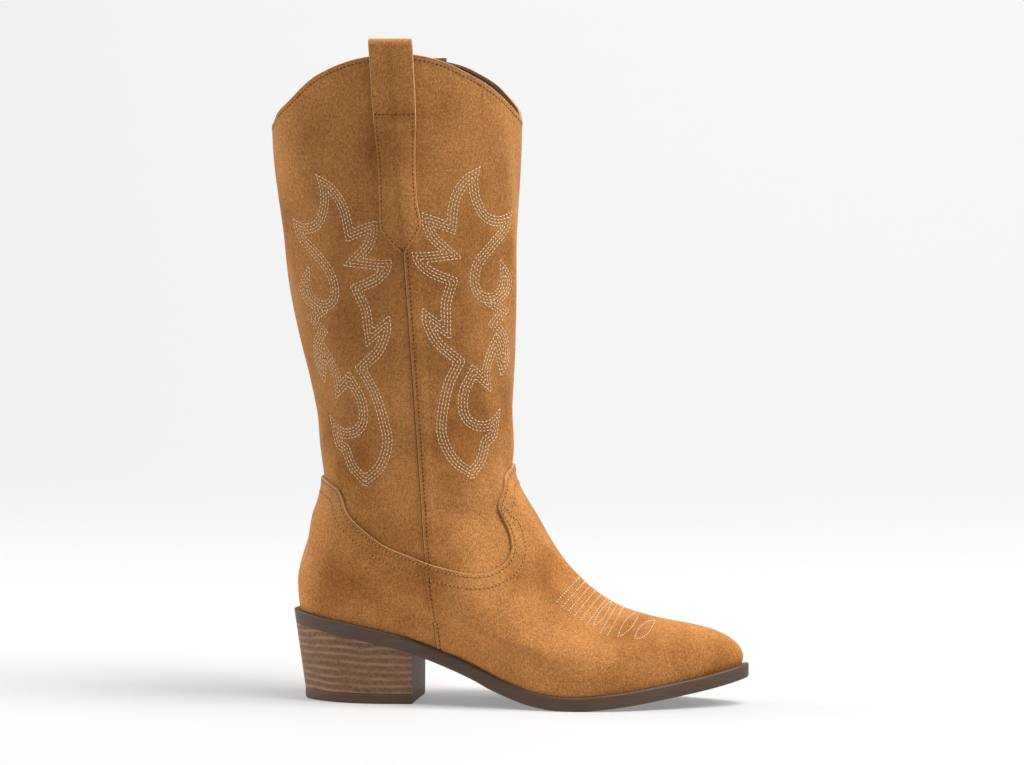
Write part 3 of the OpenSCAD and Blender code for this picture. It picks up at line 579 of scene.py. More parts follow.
def cloth_material(name, colour, roughness=0.75):
    m, t, p = shader(name, colour, roughness, Sheen_Weight=0.15)
    weave = noise(t, 1200, 1)
    threads = ramp(t, weave, [(0.3, scaled(colour, 0.7)), (0.7, scaled(colour, 1.4))])
    t.links.new(threads, p.inputs["Base Color"])
    bump(t, p, weave, 0.2, 0.0003)
    return m


def thread_material(name, colour):
    m, t, p = shader(name, colour, 0.7, Specular_IOR_Level=0.2)
    ply = noise(t, 1500, 1)
    t.links.new(ramp(t, ply, [(0.3, scaled(colour, 0.8)), (0.7, scaled(colour, 1.1))]), p.inputs["Base Color"])
    return m


def rubber_material(name, colour, roughness=0.5):
    m, t, p = shader(name, colour, roughness, Specular_IOR_Level=0.35)
    streak = noise(t, 60, 3, (1, 1, 14))
    t.links.new(ramp(t, streak, [(0.3, scaled(colour, 0.86)), (0.7, scaled(colour, 1.14))]),
                p.inputs["Base Color"])
    bump(t, p, noise(t, 260, 3, (1, 1, 4)), 0.12, 0.0006)
    return m


def stack_material(colour, line_colour):
    """Pressed layers: soft pale wavy lines a few millimetres apart over speckled brown."""
    m, t, p = shader("heel_stack", colour, 0.55, Specular_IOR_Level=0.3)
    place = node(t, "ShaderNodeTexCoord")
    split = node(t, "ShaderNodeSeparateXYZ", [("Vector", place.outputs["Object"])])
    wave = noise(t, 26, 2, (1, 1, 0.9))
    turns = node(t, "ShaderNodeMath", [(0, split.outputs["Z"])], operation="DIVIDE")
    turns.inputs[1].default_value = 4.5 * MM
    shift = node(t, "ShaderNodeMath", [(0, wave), (2, turns.outputs[0])], operation="MULTIPLY_ADD")
    shift.inputs[1].default_value = 1.7
    part = node(t, "ShaderNodeMath", [(0, shift.outputs[0])], operation="FRACT")
    line = ramp(t, part.outputs[0], [(0.22, grey(0)), (0.44, grey(0.9)), (0.56, grey(0.9)), (0.84, grey(0))])
    # Wear only here: the pale lines fade in patches at random.
    wear_and_painted_light = ramp(t, noise(t, 70, 2, (1, 1, 2.5)), [(0.35, grey(0.35)), (0.6, grey(1))])
    line = blend_colour(t, line, wear_and_painted_light, 1.0, "MULTIPLY")
    fleck = noise(t, 520, 3, (1, 1, 1.3), 0.7)
    ground = ramp(t, fleck, [(0.34, scaled(colour, 0.62)), (0.66, scaled(colour, 1.4))])
    t.links.new(blend_colour(t, ground, line_colour, line), p.inputs["Base Color"])
    bump(t, p, fleck, 0.15, 0.0004)
    return m


def metal_material(name, colour, roughness=0.35):
    m, t, p = shader(name, colour, roughness, Metallic=1.0)
    tarnish = noise(t, 300, 3)
    t.links.new(ramp(t, tarnish, [(0.3, scaled(colour, 0.65)), (0.65, colour[:3])]), p.inputs["Base Color"])
    return m


STUFF = {}


def stuff(name):
    """The boot's finishes, each made once from the colours in the panel."""
    c = bpy.context.scene.boot_colours
    makers = {
        "suede": lambda: suede_material("suede", c.suede),
        "cut_edge_and_highlight": lambda: cut_edge_and_highlight_material(c.cut_edge_and_highlight),
        "lining": lambda: cloth_material("lining_cloth", c.lining),
        "tape": lambda: cloth_material("zip_tape_weave", c.tape, 0.85),
        "cream_thread": lambda: thread_material("cream_thread", c.cream_thread),
        "dark_thread_and_hole_shadow": lambda: thread_material("dark_thread_and_hole_shadow", c.dark_thread_and_hole_shadow),
        "tan_thread": lambda: thread_material("tan_thread", c.tan_thread),
        "sole": lambda: rubber_material("sole_rubber", c.sole),
        "stack": lambda: stack_material(c.stack, c.stack_line),
        "breast": lambda: rubber_material("heel_breast", c.breast, 0.6),
        "top_lift": lambda: rubber_material("top_lift_rubber", c.top_lift, 0.6),
        "metal": lambda: metal_material("aged_brass", c.zip_metal),
    }
    if name not in STUFF:
        STUFF[name] = makers[name]()
    return STUFF[name]


# ---- threads ----
def row_tree(name, sizes, item, material, uneven=False):
    """Geometry Nodes: an item at every Pitch along the lines of a mesh, upright by the attribute "up"."""
    tree = bpy.data.node_groups.new(name, "GeometryNodeTree")
    face = tree.interface
    face.new_socket("Geometry", in_out="INPUT", socket_type="NodeSocketGeometry")
    for key in ("Pitch", *sizes):
        face.new_socket(key, in_out="INPUT", socket_type="NodeSocketFloat")
    face.new_socket("Seed", in_out="INPUT", socket_type="NodeSocketInt")
    face.new_socket(material, in_out="INPUT", socket_type="NodeSocketMaterial")
    face.new_socket("Geometry", in_out="OUTPUT", socket_type="NodeSocketGeometry")
    start, end = tree.nodes.new("NodeGroupInput"), tree.nodes.new("NodeGroupOutput")
    lines = node(tree, "GeometryNodeMeshToCurve", [(0, start.outputs["Geometry"])])
    spaced = node(tree, "GeometryNodeResampleCurve",
                  [("Curve", lines.outputs[0]), ("Length", start.outputs["Pitch"])], mode="LENGTH")
    size = node(tree, "ShaderNodeCombineXYZ", [(k, start.outputs[key]) for k, key in enumerate(sizes)])
    tangent = node(tree, "GeometryNodeInputTangent")
    up = node(tree, "GeometryNodeInputNamedAttribute", data_type="FLOAT_VECTOR", Name="up")
    along = node(tree, "FunctionNodeAlignRotationToVector", [("Vector", tangent.outputs[0])], axis="X")
    upright = node(tree, "FunctionNodeAlignRotationToVector",
                   [("Rotation", along.outputs[0]), ("Vector", up.outputs[0])], axis="Z", pivot_axis="X")
    rows = node(tree, "GeometryNodeInstanceOnPoints",
                [("Points", spaced.outputs[0]), ("Instance", item(tree, size.outputs[0])),
                 ("Rotation", upright.outputs[0])])
    done = node(tree, "GeometryNodeRealizeInstances", [(0, rows.outputs[0])])
    if uneven:
        vary = node(tree, "FunctionNodeRandomValue", [("Seed", start.outputs["Seed"])], data_type="FLOAT")
        vary.inputs[2].default_value, vary.inputs[3].default_value = 0.86, 1.08
        tree.links.new(vary.outputs[1], rows.inputs["Scale"])
        done = node(tree, "GeometryNodeSetShadeSmooth", [(0, done.outputs[0])])
    done = node(tree, "GeometryNodeSetMaterial", [("Geometry", done.outputs[0]),
                                                 ("Material", start.outputs[material])])
    tree.links.new(done.outputs[0], end.inputs[0])
    return tree


def stitch_item(tree, size):
    ball = node(tree, "GeometryNodeMeshUVSphere", Segments=6, Rings=4, Radius=0.5)
    return node(tree, "GeometryNodeTransform", [("Geometry", ball.outputs[0]), ("Scale", size)]).outputs[0]


def tooth_item(tree, size):
    block = node(tree, "GeometryNodeMeshCube", [("Size", size)])
    block.inputs["Vertices X"].default_value = 2
    return block.outputs[0]


def made_along(name, points, edges, ups, tree, wanted):
    """A plain mesh piece of what a row tree makes along lines, whose points are in millimetres."""
    mesh = bpy.data.meshes.new(name + "_lines")
    mesh.from_pydata((np.asarray(points) * MM).tolist(), edges, [])
    mesh.attributes.new("up", "FLOAT_VECTOR", "POINT").data.foreach_set("vector", np.ravel(ups))
    guide = bpy.data.objects.new(name + "_lines", mesh)
    bpy.context.scene.collection.objects.link(guide)
    mod = guide.modifiers.new("rows", "NODES")
    mod.node_group = tree
    for item in tree.interface.items_tree:
        if item.in_out == "INPUT" and item.name in wanted:
            mod[item.identifier] = wanted[item.name]
    guide.update_tag()
    bpy.context.view_layer.update()
    done = bpy.data.meshes.new_from_object(guide.evaluated_get(bpy.context.evaluated_depsgraph_get()))
    bpy.data.objects.remove(guide)
    done.name = name
    obj = bpy.data.objects.new(name, done)
    bpy.context.scene.collection.objects.link(obj)
    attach(obj, "boot")
    return obj


def sewn(name, lines, thread, pitch, length, width, seed=1):
    """Stitches along lines, each a pair of arrays: points in millimetres and their outward directions."""
    points, edges, ups = [], [], []
    for line, out in lines:
        if len(line) > 1:
            edges += [(len(points) + i, len(points) + i + 1) for i in range(len(line) - 1)]
            points += np.asarray(line).tolist()
            ups += np.asarray(out).tolist()
    tree = (bpy.data.node_groups.get("stitch_rows")
            or row_tree("stitch_rows", ("Length", "Width", "Height"), stitch_item, "Thread", uneven=True))
    return made_along(name, points, edges, ups, tree, {
        "Pitch": pitch * MM, "Length": length * MM, "Width": width * MM, "Height": width * 0.7 * MM,
        "Seed": seed, "Thread": stuff(thread)})


def surface_of(name):
    """A search tree over a piece's outer face, in millimetres."""
    outer = PIECES[name]
    m, n = outer.shape[:2]
    faces, _ = slab_faces(m, n)
    return BVHTree.FromPolygons(outer.reshape(-1, 3).tolist(), faces[: (m - 1) * (n - 1)])


def laid(tree, points, lift=0.05):
    """Points moved onto a surface, and its outward directions there."""
    places, out = [], []
    for p in points:
        where, way, _, _ = tree.find_nearest(Vector(p))
        places.append(where + way * lift)
        out.append(way)
    return np.array(places), np.array(out)


def cut_where(points, keep, join=3.0):
    """The kept runs of a line. Runs whose ends are close are joined."""
    runs, run = [], []
    for p, k in zip(points, keep):
        if k:
            if run and np.linalg.norm(p - run[-1]) > join:
                runs.append(run)
                run = []
            run.append(p)
    runs.append(run)
    return [np.array(r) for r in runs if len(r) > 3]


def nearest(points, line):
    return np.array([np.min(np.linalg.norm(line - p, axis=-1)) for p in points])


def even(points, step=0.5):
    s = run_length(points, 0)
    t = np.arange(0, s[-1], step)
    return np.stack([np.interp(t, s, points[:, k]) for k in range(points.shape[1])], -1)


def row_from_edge(tree, edge, inner, offset):
    """A line on a surface at a distance from one of its edges. inner is the edge's next row of points."""
    both = even(np.concatenate([edge, inner], 1))
    edge, inner = both[:, :3], both[:, 3:]
    along = np.gradient(edge, axis=0)
    along /= np.linalg.norm(along, axis=-1, keepdims=True)
    way = inner - edge
    way -= along * np.einsum("ij,ij->i", way, along)[:, None]
    way /= np.linalg.norm(way, axis=-1, keepdims=True)
    line = edge + way * offset
    return [laid(tree, run) for run in cut_where(line, nearest(line, edge) > offset * 0.97)]


def edge_of(piece, side):
    """One edge of a piece's outer face and the points a little inside it."""
    outer = PIECES[piece]
    return {"left": (outer[0], outer[6]), "right": (outer[-1], outer[-7]), "low": (outer[:, 0], outer[:, 8]),
            "top": (outer[:, -1], outer[:, -9])}[side]


# ---- add-on: sizes and colours ----
def size_property(name, description, default, low, high):
    return bpy.props.FloatProperty(name=name, description=description, default=default * MM, min=low * MM,
                                   max=high * MM, unit="LENGTH", precision=4)


def colour_property(name, description, default):
    return bpy.props.FloatVectorProperty(name=name, description=description, default=default, subtype="COLOR",
                                         size=3, min=0, max=1)


class BootThreads(bpy.types.PropertyGroup):
    flame_pitch: size_property("Flame pitch", "From stitch to stitch in the embroidery", 2.5, 1.5, 5)
    flame_length: size_property("Flame stitch", "Length of an embroidery stitch", 2.0, 1, 4)
    flame_width: size_property("Flame thread", "Width of the embroidery thread", 0.62, 0.3, 1.2)
    row_gap: size_property("Row gap", "Between two rows of the embroidery", 1.9, 1.2, 3)
    seam_pitch: size_property("Seam pitch", "From stitch to stitch along the edges", 2.6, 1.5, 5)
    seam_length: size_property("Seam stitch", "Length of an edge stitch", 1.95, 1, 4)
    seam_width: size_property("Seam thread", "Width of the edge thread", 0.8, 0.3, 1.2)
    rows: bpy.props.IntProperty(name="Rows", description="Rows in each flame", default=4, min=1, max=6)


class BootColours(bpy.types.PropertyGroup):
    suede: colour_property("Suede", "Faces of the upper", (0.47, 0.212, 0.068))
    # Partly the raw edge's colour, partly painted highlight: lightened, and also laid on a band of outer faces
    # along each rim.
    cut_edge_and_highlight: colour_property("Cut edge", "Raw edges of the suede", (0.56, 0.31, 0.125))
    lining: colour_property("Lining", "Cloth inside the boot", (0.022, 0.022, 0.025))
    tape: colour_property("Zip tape", "Woven tapes of the zip", (0.28, 0.16, 0.08))
    cream_thread: colour_property("Cream thread", "Embroidery", (0.83, 0.70, 0.50))
    # Also the colour of the painted shadow in the stitch holes between the tan stitches.
    dark_thread_and_hole_shadow: colour_property("Dark thread", "Rim, seam and strap rows", (0.085, 0.033, 0.011))
    tan_thread: colour_property("Tan thread", "Rows round the vamp and the counter", (0.52, 0.29, 0.12))
    sole: colour_property("Outsole", "Moulded rubber", (0.105, 0.063, 0.043))
    stack: colour_property("Heel stack", "Ground of the stacked heel", (0.2, 0.107, 0.054))
    stack_line: colour_property("Heel lines", "Pale lines of the stacked heel", (0.42, 0.23, 0.12))
    breast: colour_property("Heel breast", "Front face of the heel", (0.155, 0.094, 0.056))
    top_lift: colour_property("Top lift", "Rubber under the heel", (0.125, 0.07, 0.04))
    zip_metal: colour_property("Zip metal", "Chain, slider and puller", (0.52, 0.40, 0.22))
    floor: colour_property("Floor", "Studio floor and wall", (0.46, 0.46, 0.46))


# ---- add-on: one operator for each group of pieces ----
def front_lap(dist):
    """The front panel and the vamp lie over the back ones along the outer seam."""
    return -LAP * ease((10 - dist[0]) / 5)


def both_laps(dist):
    """The vamp laps at both of its side seams."""
    return front_lap(dist) - LAP * ease((10 - dist[1]) / 5)


class BOOT_OT_upper(bpy.types.Operator):
    """Suede panels: shaft front and back, vamp and counter"""
    bl_idname = "boot.upper"
    bl_label = "Upper"

    def execute(self, context):
        skins = [stuff("suede"), stuff("cut_edge_and_highlight")]
        rim_groove = (3, RIM_ROW, 0.28)
        panel("shaft_front_suede", front_grid(SLIT), 0, SUEDE, skins, "shaft_front", front_lap,
              [rim_groove, (0, ROW_IN, 0.22), (1, ZIP_ROW, 0.2)])
        panel("shaft_back_suede", back_grid(SLIT), 0, SUEDE, skins, "shaft_back",
              None, [rim_groove, (0, ZIP_ROW, 0.2)], pale=(0, 3))
        vamp, counter = vamp_grid(), counter_grid()
        panel("vamp_suede", vamp, cover_depth(vamp[2]), SUEDE, skins, "vamp", both_laps,
              [(3, ROW_IN, 0.2), (0, ROW_IN, 0.22), (1, ROW_IN, 0.22)])
        panel("counter_suede", counter, cover_depth(counter[2]), SUEDE, skins, "heel_counter", None,
              [(3, ROW_IN, 0.2)], pale=(3,))
        return {"FINISHED"}


class BOOT_OT_linings(bpy.types.Operator):
    """Dark linings of the shaft and the foot, and the padded sock lining"""
    bl_idname = "boot.linings"
    bl_label = "Linings"

    def execute(self, context):
        cloth = [stuff("lining")]
        open_half = TAPE_EDGE + 0.8
        panel("shaft_lining_front_cloth", front_grid(open_half, True), OVER, LINING, cloth,
              "shaft_lining_front", rim=0.3)
        panel("shaft_lining_back_cloth", back_grid(open_half, True), OVER, LINING, cloth,
              "shaft_lining_back", rim=0.3)
        for name, grid, node_name in (("vamp_lining_cloth", vamp_grid(), "vamp_lining"),
                                      ("heel_lining_cloth", counter_grid(), "heel_lining")):
            panel(name, grid, foot_lining_depth(grid[2]), LINING, cloth, node_name, rim=0.3)
        inset = FOOT_LINING_D + LINING + 0.6
        base = 4.0
        rings = [bed_ring(-inset - r, base + z) for r, z in
                 ((0, 0), (0, 1.6), (0.3, 2.2), (1.0, 2.6), (4, 2.9), (12, 3.0))]
        sock = ring_stack("sock_lining_pad", rings, cloth, "sock_lining")
        return {"FINISHED"}


def outward(a):
    """The form's lowest loop in plan: points, directions outwards, and shares of the way forward."""
    way = form(a + 0.004, 0) - form(a - 0.004, 0)
    way = np.stack([way[:, 1], -way[:, 0]], -1) / np.linalg.norm(way[:, :2], axis=-1, keepdims=True)
    return form(a, 0)[:, :2], way, (1 - np.cos(math.pi * np.where(a < 1, a, 2 - a))) / 2


def outline(d, toe=0.0, back=0.0):
    """The lowest loop of the form, moved out by d, as points from the back round the outer side."""
    xy, way, c = outward(np.arange(240) * 2 / 240)
    return xy + (d + toe * c**8 + back * (1 - c) ** 8)[:, None] * way


def bed_ring(d, lift):
    xy = outline(d)
    return np.column_stack([xy, seat_z(xy[:, 0]) + lift])


def sole_bottom(x):
    slope = (seat_z(x + 1) - seat_z(x - 1)) / 2
    return np.maximum(0, seat_z(x) - 0.1 - SOLE_T * np.sqrt(1 + slope**2))


class BOOT_OT_sole(bpy.types.Operator):
    """Moulded outsole with a soft upper and lower edge"""
    bl_idname = "boot.sole"
    bl_label = "Outsole"

    def execute(self, context):
        # Distance out, share of the way down the edge, and a small rise or fall.
        profile = [(-7, 0, -0.02), (-0.5, 0, -0.02), (0.9, 0, -0.05), (1.5, 0, -0.25), (1.95, 0, -0.65),
                   (2.18, 0, -1.2), (SOLE_EDGE, 0.3, -0.6), (SOLE_EDGE, 0.7, 1), (2.15, 1, 1.1), (1.8, 1, 0.45),
                   (1.1, 1, 0.05), (0, 1, 0), (-7, 1, 0)]
        rings = []
        for d, low, dz in profile:
            xy = outline(d, TOE_EDGE, BACK_EDGE)
            flush = low * ease((52 - xy[:, 0]) / 16) * (d > 0.5)
            xy = mix(xy, outline(min(d, 1.1), TOE_EDGE, BACK_EDGE), flush[:, None])
            top, bottom = seat_z(xy[:, 0]), sole_bottom(xy[:, 0])
            z = top + dz if low == 0 else bottom + dz if low == 1 else mix(top, bottom, low)
            rings.append(np.column_stack([xy, z]))
        ring_stack("outsole_rubber", rings[::-1], [stuff("sole")], "outsole", smooth_angle=60)
        return {"FINISHED"}


BACK_REACH = 41.3
HEEL_HALF, HEEL_TOP = 30.49, 47.51
LIFT_LENGTH, LIFT_HALF = 72, 27


def heel_ring(k, inset=0.0):
    """The heel's outline, k = 1 at its foot and 0 at its top. The first point is at the back's middle."""
    per_side, half = 160, 48
    a = np.concatenate([np.linspace(0, 0.4, per_side), np.linspace(1.6, 2, per_side)[:-1]])
    xy, way, c = outward(a)
    xy = xy + (1.0 + BACK_EDGE * (1 - c) ** 8)[:, None] * way
    halves = []
    for part, sign in ((xy[:per_side], -1), (np.vstack([xy[per_side:], xy[:1]])[::-1], 1)):
        part = part[part[:, 0] < BREAST]
        x = BREAST - (BREAST - part[:, 0]) * mix(1, LIFT_LENGTH / (BREAST + BACK_REACH + 0.8), k)
        y = part[:, 1] * mix(1, LIFT_HALF / HEEL_HALF, k)
        line = np.column_stack([x, y])
        line = np.vstack([line, [BREAST, line[-1, 1]], [BREAST, sign * 0.01]])
        s = run_length(line, 0)
        corner = s[-2]
        t = np.concatenate([np.linspace(0, corner - 1.2, half - 12), corner + np.array([-0.8, -0.4, -0.1, 0]),
                            corner + np.array([0.1, 0.4, 0.8]), np.linspace(corner + 1.2, s[-1], 6)])
        halves.append(np.column_stack([np.interp(t, s, line[:, 0]), np.interp(t, s, line[:, 1])]))
    ring = np.vstack([halves[0], halves[1][::-1][:-1]])
    return ring - inset * ring / np.maximum(np.abs(ring).max(axis=1, keepdims=True), 8)


def rings_of_heel(levels):
    """Rings at shares of the way from the top lift to the outsole, whose underside they meet."""
    low, high = heel_ring(1), heel_ring(0)
    rings = []
    for t in levels:
        xy = heel_ring(1 - t)
        for _ in range(3):
            z = mix(TOP_LIFT, sole_bottom(xy[:, 0]) + 0.25, t)
            k = 1 - (z - TOP_LIFT) / (HEEL_TOP - TOP_LIFT)
            xy = mix(high, low, k[:, None])
        rings.append(np.column_stack([xy, z]))
    return rings


class BOOT_OT_heel(bpy.types.Operator):
    """Stacked heel with its plain breast, and the rubber top lift"""
    bl_idname = "boot.heel"
    bl_label = "Heel"

    def execute(self, context):
        block = ring_stack("heel_stack_block", rings_of_heel(np.linspace(0, 1, 13)),
                           [stuff("stack"), stuff("breast")], "heel_block", smooth_angle=40)
        for poly in block.data.polygons:
            if poly.normal.x > 0.9:
                poly.material_index = 1
        foot = heel_ring(1)
        rings = []
        for inset, z in ((1.6, 0.0), (0.7, 0.15), (0.15, 0.8), (0, 1.8), (0, 4.4), (0, TOP_LIFT - 0.5),
                         (0.25, TOP_LIFT - 0.1), (0.6, TOP_LIFT - 0.02)):
            xy = heel_ring(1, inset)
            back = ease((10 - foot[:, 0]) / 40)[:, None]
            rings.append(np.column_stack([mix(heel_ring(1, inset * 0.35), xy, back), np.full(len(xy), z)]))
        ring_stack("top_lift_pad", rings, [stuff("top_lift")], "heel_top_lift", smooth_angle=50)
        return {"FINISHED"}


def strap_section(w, t):
    """How far the strap's outer face swells: puffed between its two stitched edges in the lower part."""
    puff = np.sin(math.pi * np.clip(w, 0, 1)) ** 0.7
    low = ease((t - 0.32) / 0.06) * (1 - ease((t - 0.93) / 0.07))
    return low * 1.7 * puff


class BOOT_OT_strap(bpy.types.Operator):
    """Pull strap folded over the rim, puffed below its cross row"""
    bl_idname = "boot.strap"
    bl_label = "Pull strap"

    def execute(self, context):
        gap = 0.3
        out_d, in_d = -gap - STRAP_T / 2, OVER + LINING + gap + STRAP_T / 2
        z0 = HEIGHT - 1.6
        r = (in_d - out_d) / 2
        z_arch = z0 + STRAP_RISE + 1.4 - r - STRAP_T / 2
        legs = [(out_d, z0 - STRAP_LEG * f, 180.0, f) for f in (1 - np.linspace(0, 1, 90))]
        middle = (in_d + out_d) / 2
        arch = [(middle + r * math.cos(math.radians(q)), z_arch + r * math.sin(math.radians(q)), q, 0.0)
                for q in np.linspace(180, 0, 21)]
        inner = [(in_d, z0 - STRAP_INNER_LEG * f, 0.0, 0.0) for f in np.linspace(0.02, 1, 40)]
        line = np.array(legs + arch + inner)
        w = np.unique(np.concatenate([np.linspace(0, 1, 25), [0.006, 0.02, 0.034, 0.966, 0.98, 0.994]]))
        d, z, q, f = (line[:, None, k] for k in range(4))
        s = mix(curve(STRAP_BACK, f), curve(STRAP_FRONT, f), w)
        turn = np.radians(q)
        lapped = LAP * ease((s + 0.5) / 2) * ease((180 - np.abs(q)) / 180 < 0.5)
        edge = np.minimum(w, 1 - w) * 26
        soft = 0.5 * (1 - np.clip(edge / 0.5, 0, 1)) ** 2
        outer_leg = (q > 90).astype(float)
        sides = []
        for side in (1, -1):
            swell = (strap_section(w, f) - soft) * outer_leg if side == 1 else 0
            dd = d + np.cos(turn) * (side * STRAP_T / 2 + swell) - lapped
            zz = z + side * np.sin(turn) * STRAP_T / 2
            sides.append(under(seam_share(np.clip(zz, KNEE, 429), s), zz, dd))
        faces, rims = slab_faces(*sides[0].shape[:2])
        obj = make_object("pull_strap_suede", np.concatenate([p.reshape(-1, 3) for p in sides]), faces,
                          [stuff("suede"), stuff("cut_edge_and_highlight")])
        # The rim and a band of outer faces along the strap's edges get the cut edge material, a painted
        # highlight.
        rim_and_painted_highlight(obj, np.minimum.reduce(edge_distances(sides[0])), len(faces), rims, 0.6)
        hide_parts("pull_strap")
        PIECES["pull_strap_suede"] = sides[0][:88]
        return {"FINISHED"}


def strip_grid(low, high, bottom, top):
    s = np.linspace(low, high, 16)
    h = np.linspace(bottom, top, 90)
    h2, s2 = np.meshgrid(h, s)
    return zip_turn(h2, s2), h2, h


class BOOT_OT_zip(bpy.types.Operator):
    """Zip on the inner side: tapes, teeth, guard, stops, slider and puller"""
    bl_idname = "boot.zip"
    bl_label = "Zip"

    def execute(self, context):
        tape, metal = [stuff("tape")], stuff("metal")
        top, low = HEIGHT + 1.2, SLIT_END - 7
        for name, left, right in (("zip_tape_front", CHAIN_HALF, TAPE_EDGE),
                                  ("zip_tape_back", -TAPE_EDGE, -CHAIN_HALF)):
            panel(name + "_weave", strip_grid(left, right, low, top), OVER, 0.5, tape, name, rim=0.2)
        panel("zip_guard_cloth", strip_grid(-18, 18, SLIT_END - 26, HEIGHT - 6), 4.0, 1.0, [stuff("lining")],
              "zip_guard", rim=0.3)
        for name in ("zip_top_stops", "zip_bottom_stop", "zip_slider", "zip_puller"):
            dress(name, metal)
        teeth()
        return {"FINISHED"}


def dress(name, material):
    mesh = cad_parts[name].data
    mesh.materials.clear()
    mesh.materials.append(material)


def zip_frame():
    """Origin at the chain's top, and the directions to the toe, down the zip and out of the shaft."""
    z0 = HEIGHT - 7.5
    ends = [form(2 - zip_share(z), z) for z in (z0, SLIT_END)]
    down = (ends[1] - ends[0]) / np.linalg.norm(ends[1] - ends[0])
    out = normal(2 - zip_share(z0), z0) + normal(2 - zip_share(SLIT_END), SLIT_END)
    out -= down * (out @ down)
    out /= np.linalg.norm(out)
    return ends[0], np.cross(down, out), down, out, np.linalg.norm(ends[1] - ends[0])


def teeth():
    """Two rows of brass teeth, half a pitch apart."""
    origin, side, down, out, length = zip_frame()
    tree = row_tree("zip_teeth", ("Width", "Reach", "Thickness"), tooth_item, "Metal")
    pitch, reach = 2.1, 2.6
    for name, sign, start in (("zip_chain_front", 1, 0.5), ("zip_chain_back", -1, 0.5 + pitch / 2)):
        centre = origin + side * sign * (0.36 + reach / 2) - out * 1.05
        obj = made_along(name + "_teeth", [centre + down * start, centre + down * (length - 0.6)], [(0, 1)],
                         [out, out], tree,
                         {"Pitch": pitch * MM, "Reach": reach * MM, "Width": 1.15 * MM, "Thickness": 1.9 * MM,
                          "Metal": stuff("metal")})
        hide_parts(name)


class BOOT_OT_edge_stitches(bpy.types.Operator):
    """Rows along the rim, the seams, the zip, the strap and round the vamp and counter"""
    bl_idname = "boot.edge_stitches"
    bl_label = "Edge stitches"

    def execute(self, context):
        t = context.scene.boot_threads
        pitch, length, width = t.seam_pitch / MM, t.seam_length / MM, t.seam_width / MM
        trees = {n: surface_of(n) for n in PIECES if n.endswith("_suede")}
        front, back, vamp, counter, strap = (
            n + "_suede" for n in ("shaft_front", "shaft_back", "vamp", "counter", "pull_strap"))
        rows = (("rim_stitches", "dark_thread_and_hole_shadow", [(front, "top", RIM_ROW), (back, "top", RIM_ROW)]),
                ("seam_stitches", "dark_thread_and_hole_shadow",
                 [(front, "left", ROW_IN), (vamp, "left", ROW_IN), (vamp, "right", ROW_IN)]),
                ("zip_edge_stitches", "tan_thread", [(front, "right", ZIP_ROW), (back, "left", ZIP_ROW)]),
                ("vamp_stitches", "tan_thread", [(vamp, "top", ROW_IN), (vamp, "top", SECOND_ROW)]),
                ("counter_stitches", "tan_thread", [(counter, "top", ROW_IN), (counter, "top", SECOND_ROW)]),
                ("strap_stitches", "dark_thread_and_hole_shadow", [(strap, side, STRAP_ROW) for side in ("low", "top", "left")]))
        for name, thread, edges in rows:
            lines = []
            for piece, side, offset in edges:
                edge, inner = edge_of(piece, side)
                lines += row_from_edge(trees[piece], edge, inner, offset)
            if name == "seam_stitches":
                lines = [trimmed(l, lambda z: (z < STRAP_TIP) & ~((z > 88) & (z < 90))) for l in lines]
            if name == "strap_stitches":
                lines = [trimmed(l, lambda z: z < CROSS_ROW + 0.5) for l in lines]
                lines.append(strap_cross_row(trees[strap]))
            sewn(name, lines, thread, pitch, length, width, seed=len(name))
            # Dark thread between the tan stitches is painted shadow in the stitch holes.
            if thread == "tan_thread":
                sewn(name.replace("stitches", "holes"), [between(l, pitch) for l in lines], "dark_thread_and_hole_shadow",
                     pitch, 0.9, width, seed=2)
        return {"FINISHED"}


def trimmed(line, keep):
    """The part of a line whose heights are kept."""
    points, out = line
    k = keep(points[:, 2])
    return points[k], out[k]


def between(line, pitch):
    """The same line from half a stitch after its start to half a stitch before its end."""
    s = run_length(line[0], 0)
    half = s[-1] / max(int(s[-1] / pitch), 1) / 2
    at = np.linspace(half, s[-1] - half, len(s))
    return tuple(np.stack([np.interp(at, s, a[:, k]) for k in range(3)], -1) for a in line)


def strap_cross_row(tree):
    s = np.linspace(-11.2, 11.4, 60)
    return laid(tree, under(seam_share(CROSS_ROW, s), CROSS_ROW, -4.0))


def arc_table():
    """Turn on the outer side for millimetres of arc from the seam, at heights every 5 mm."""
    levels = np.arange(130, 345, 5.0)
    u = np.linspace(0.01, 0.99, 400)
    rows = []
    for z in levels:
        s = run_length(form(u, z), 0)
        rows.append((s - np.interp(seam_share(z), u, s)))
    return levels, u, rows


def on_shaft(q, z, table):
    """Turn at arc q in front of the outer seam and height z."""
    levels, u, rows = table
    k = np.clip((z - levels[0]) / 5, 0, len(levels) - 1.001)
    i = k.astype(int)
    low = np.array([np.interp(a, rows[j], u) for a, j in zip(q, i)])
    high = np.array([np.interp(a, rows[j + 1], u) for a, j in zip(q, i)])
    return mix(low, high, k - i)


def left_of(stroke):
    """Unit directions to the left of a flat line."""
    along = np.gradient(stroke, axis=0)
    return np.stack([-along[:, 1], along[:, 0]], -1) / np.linalg.norm(along, axis=-1, keepdims=True)


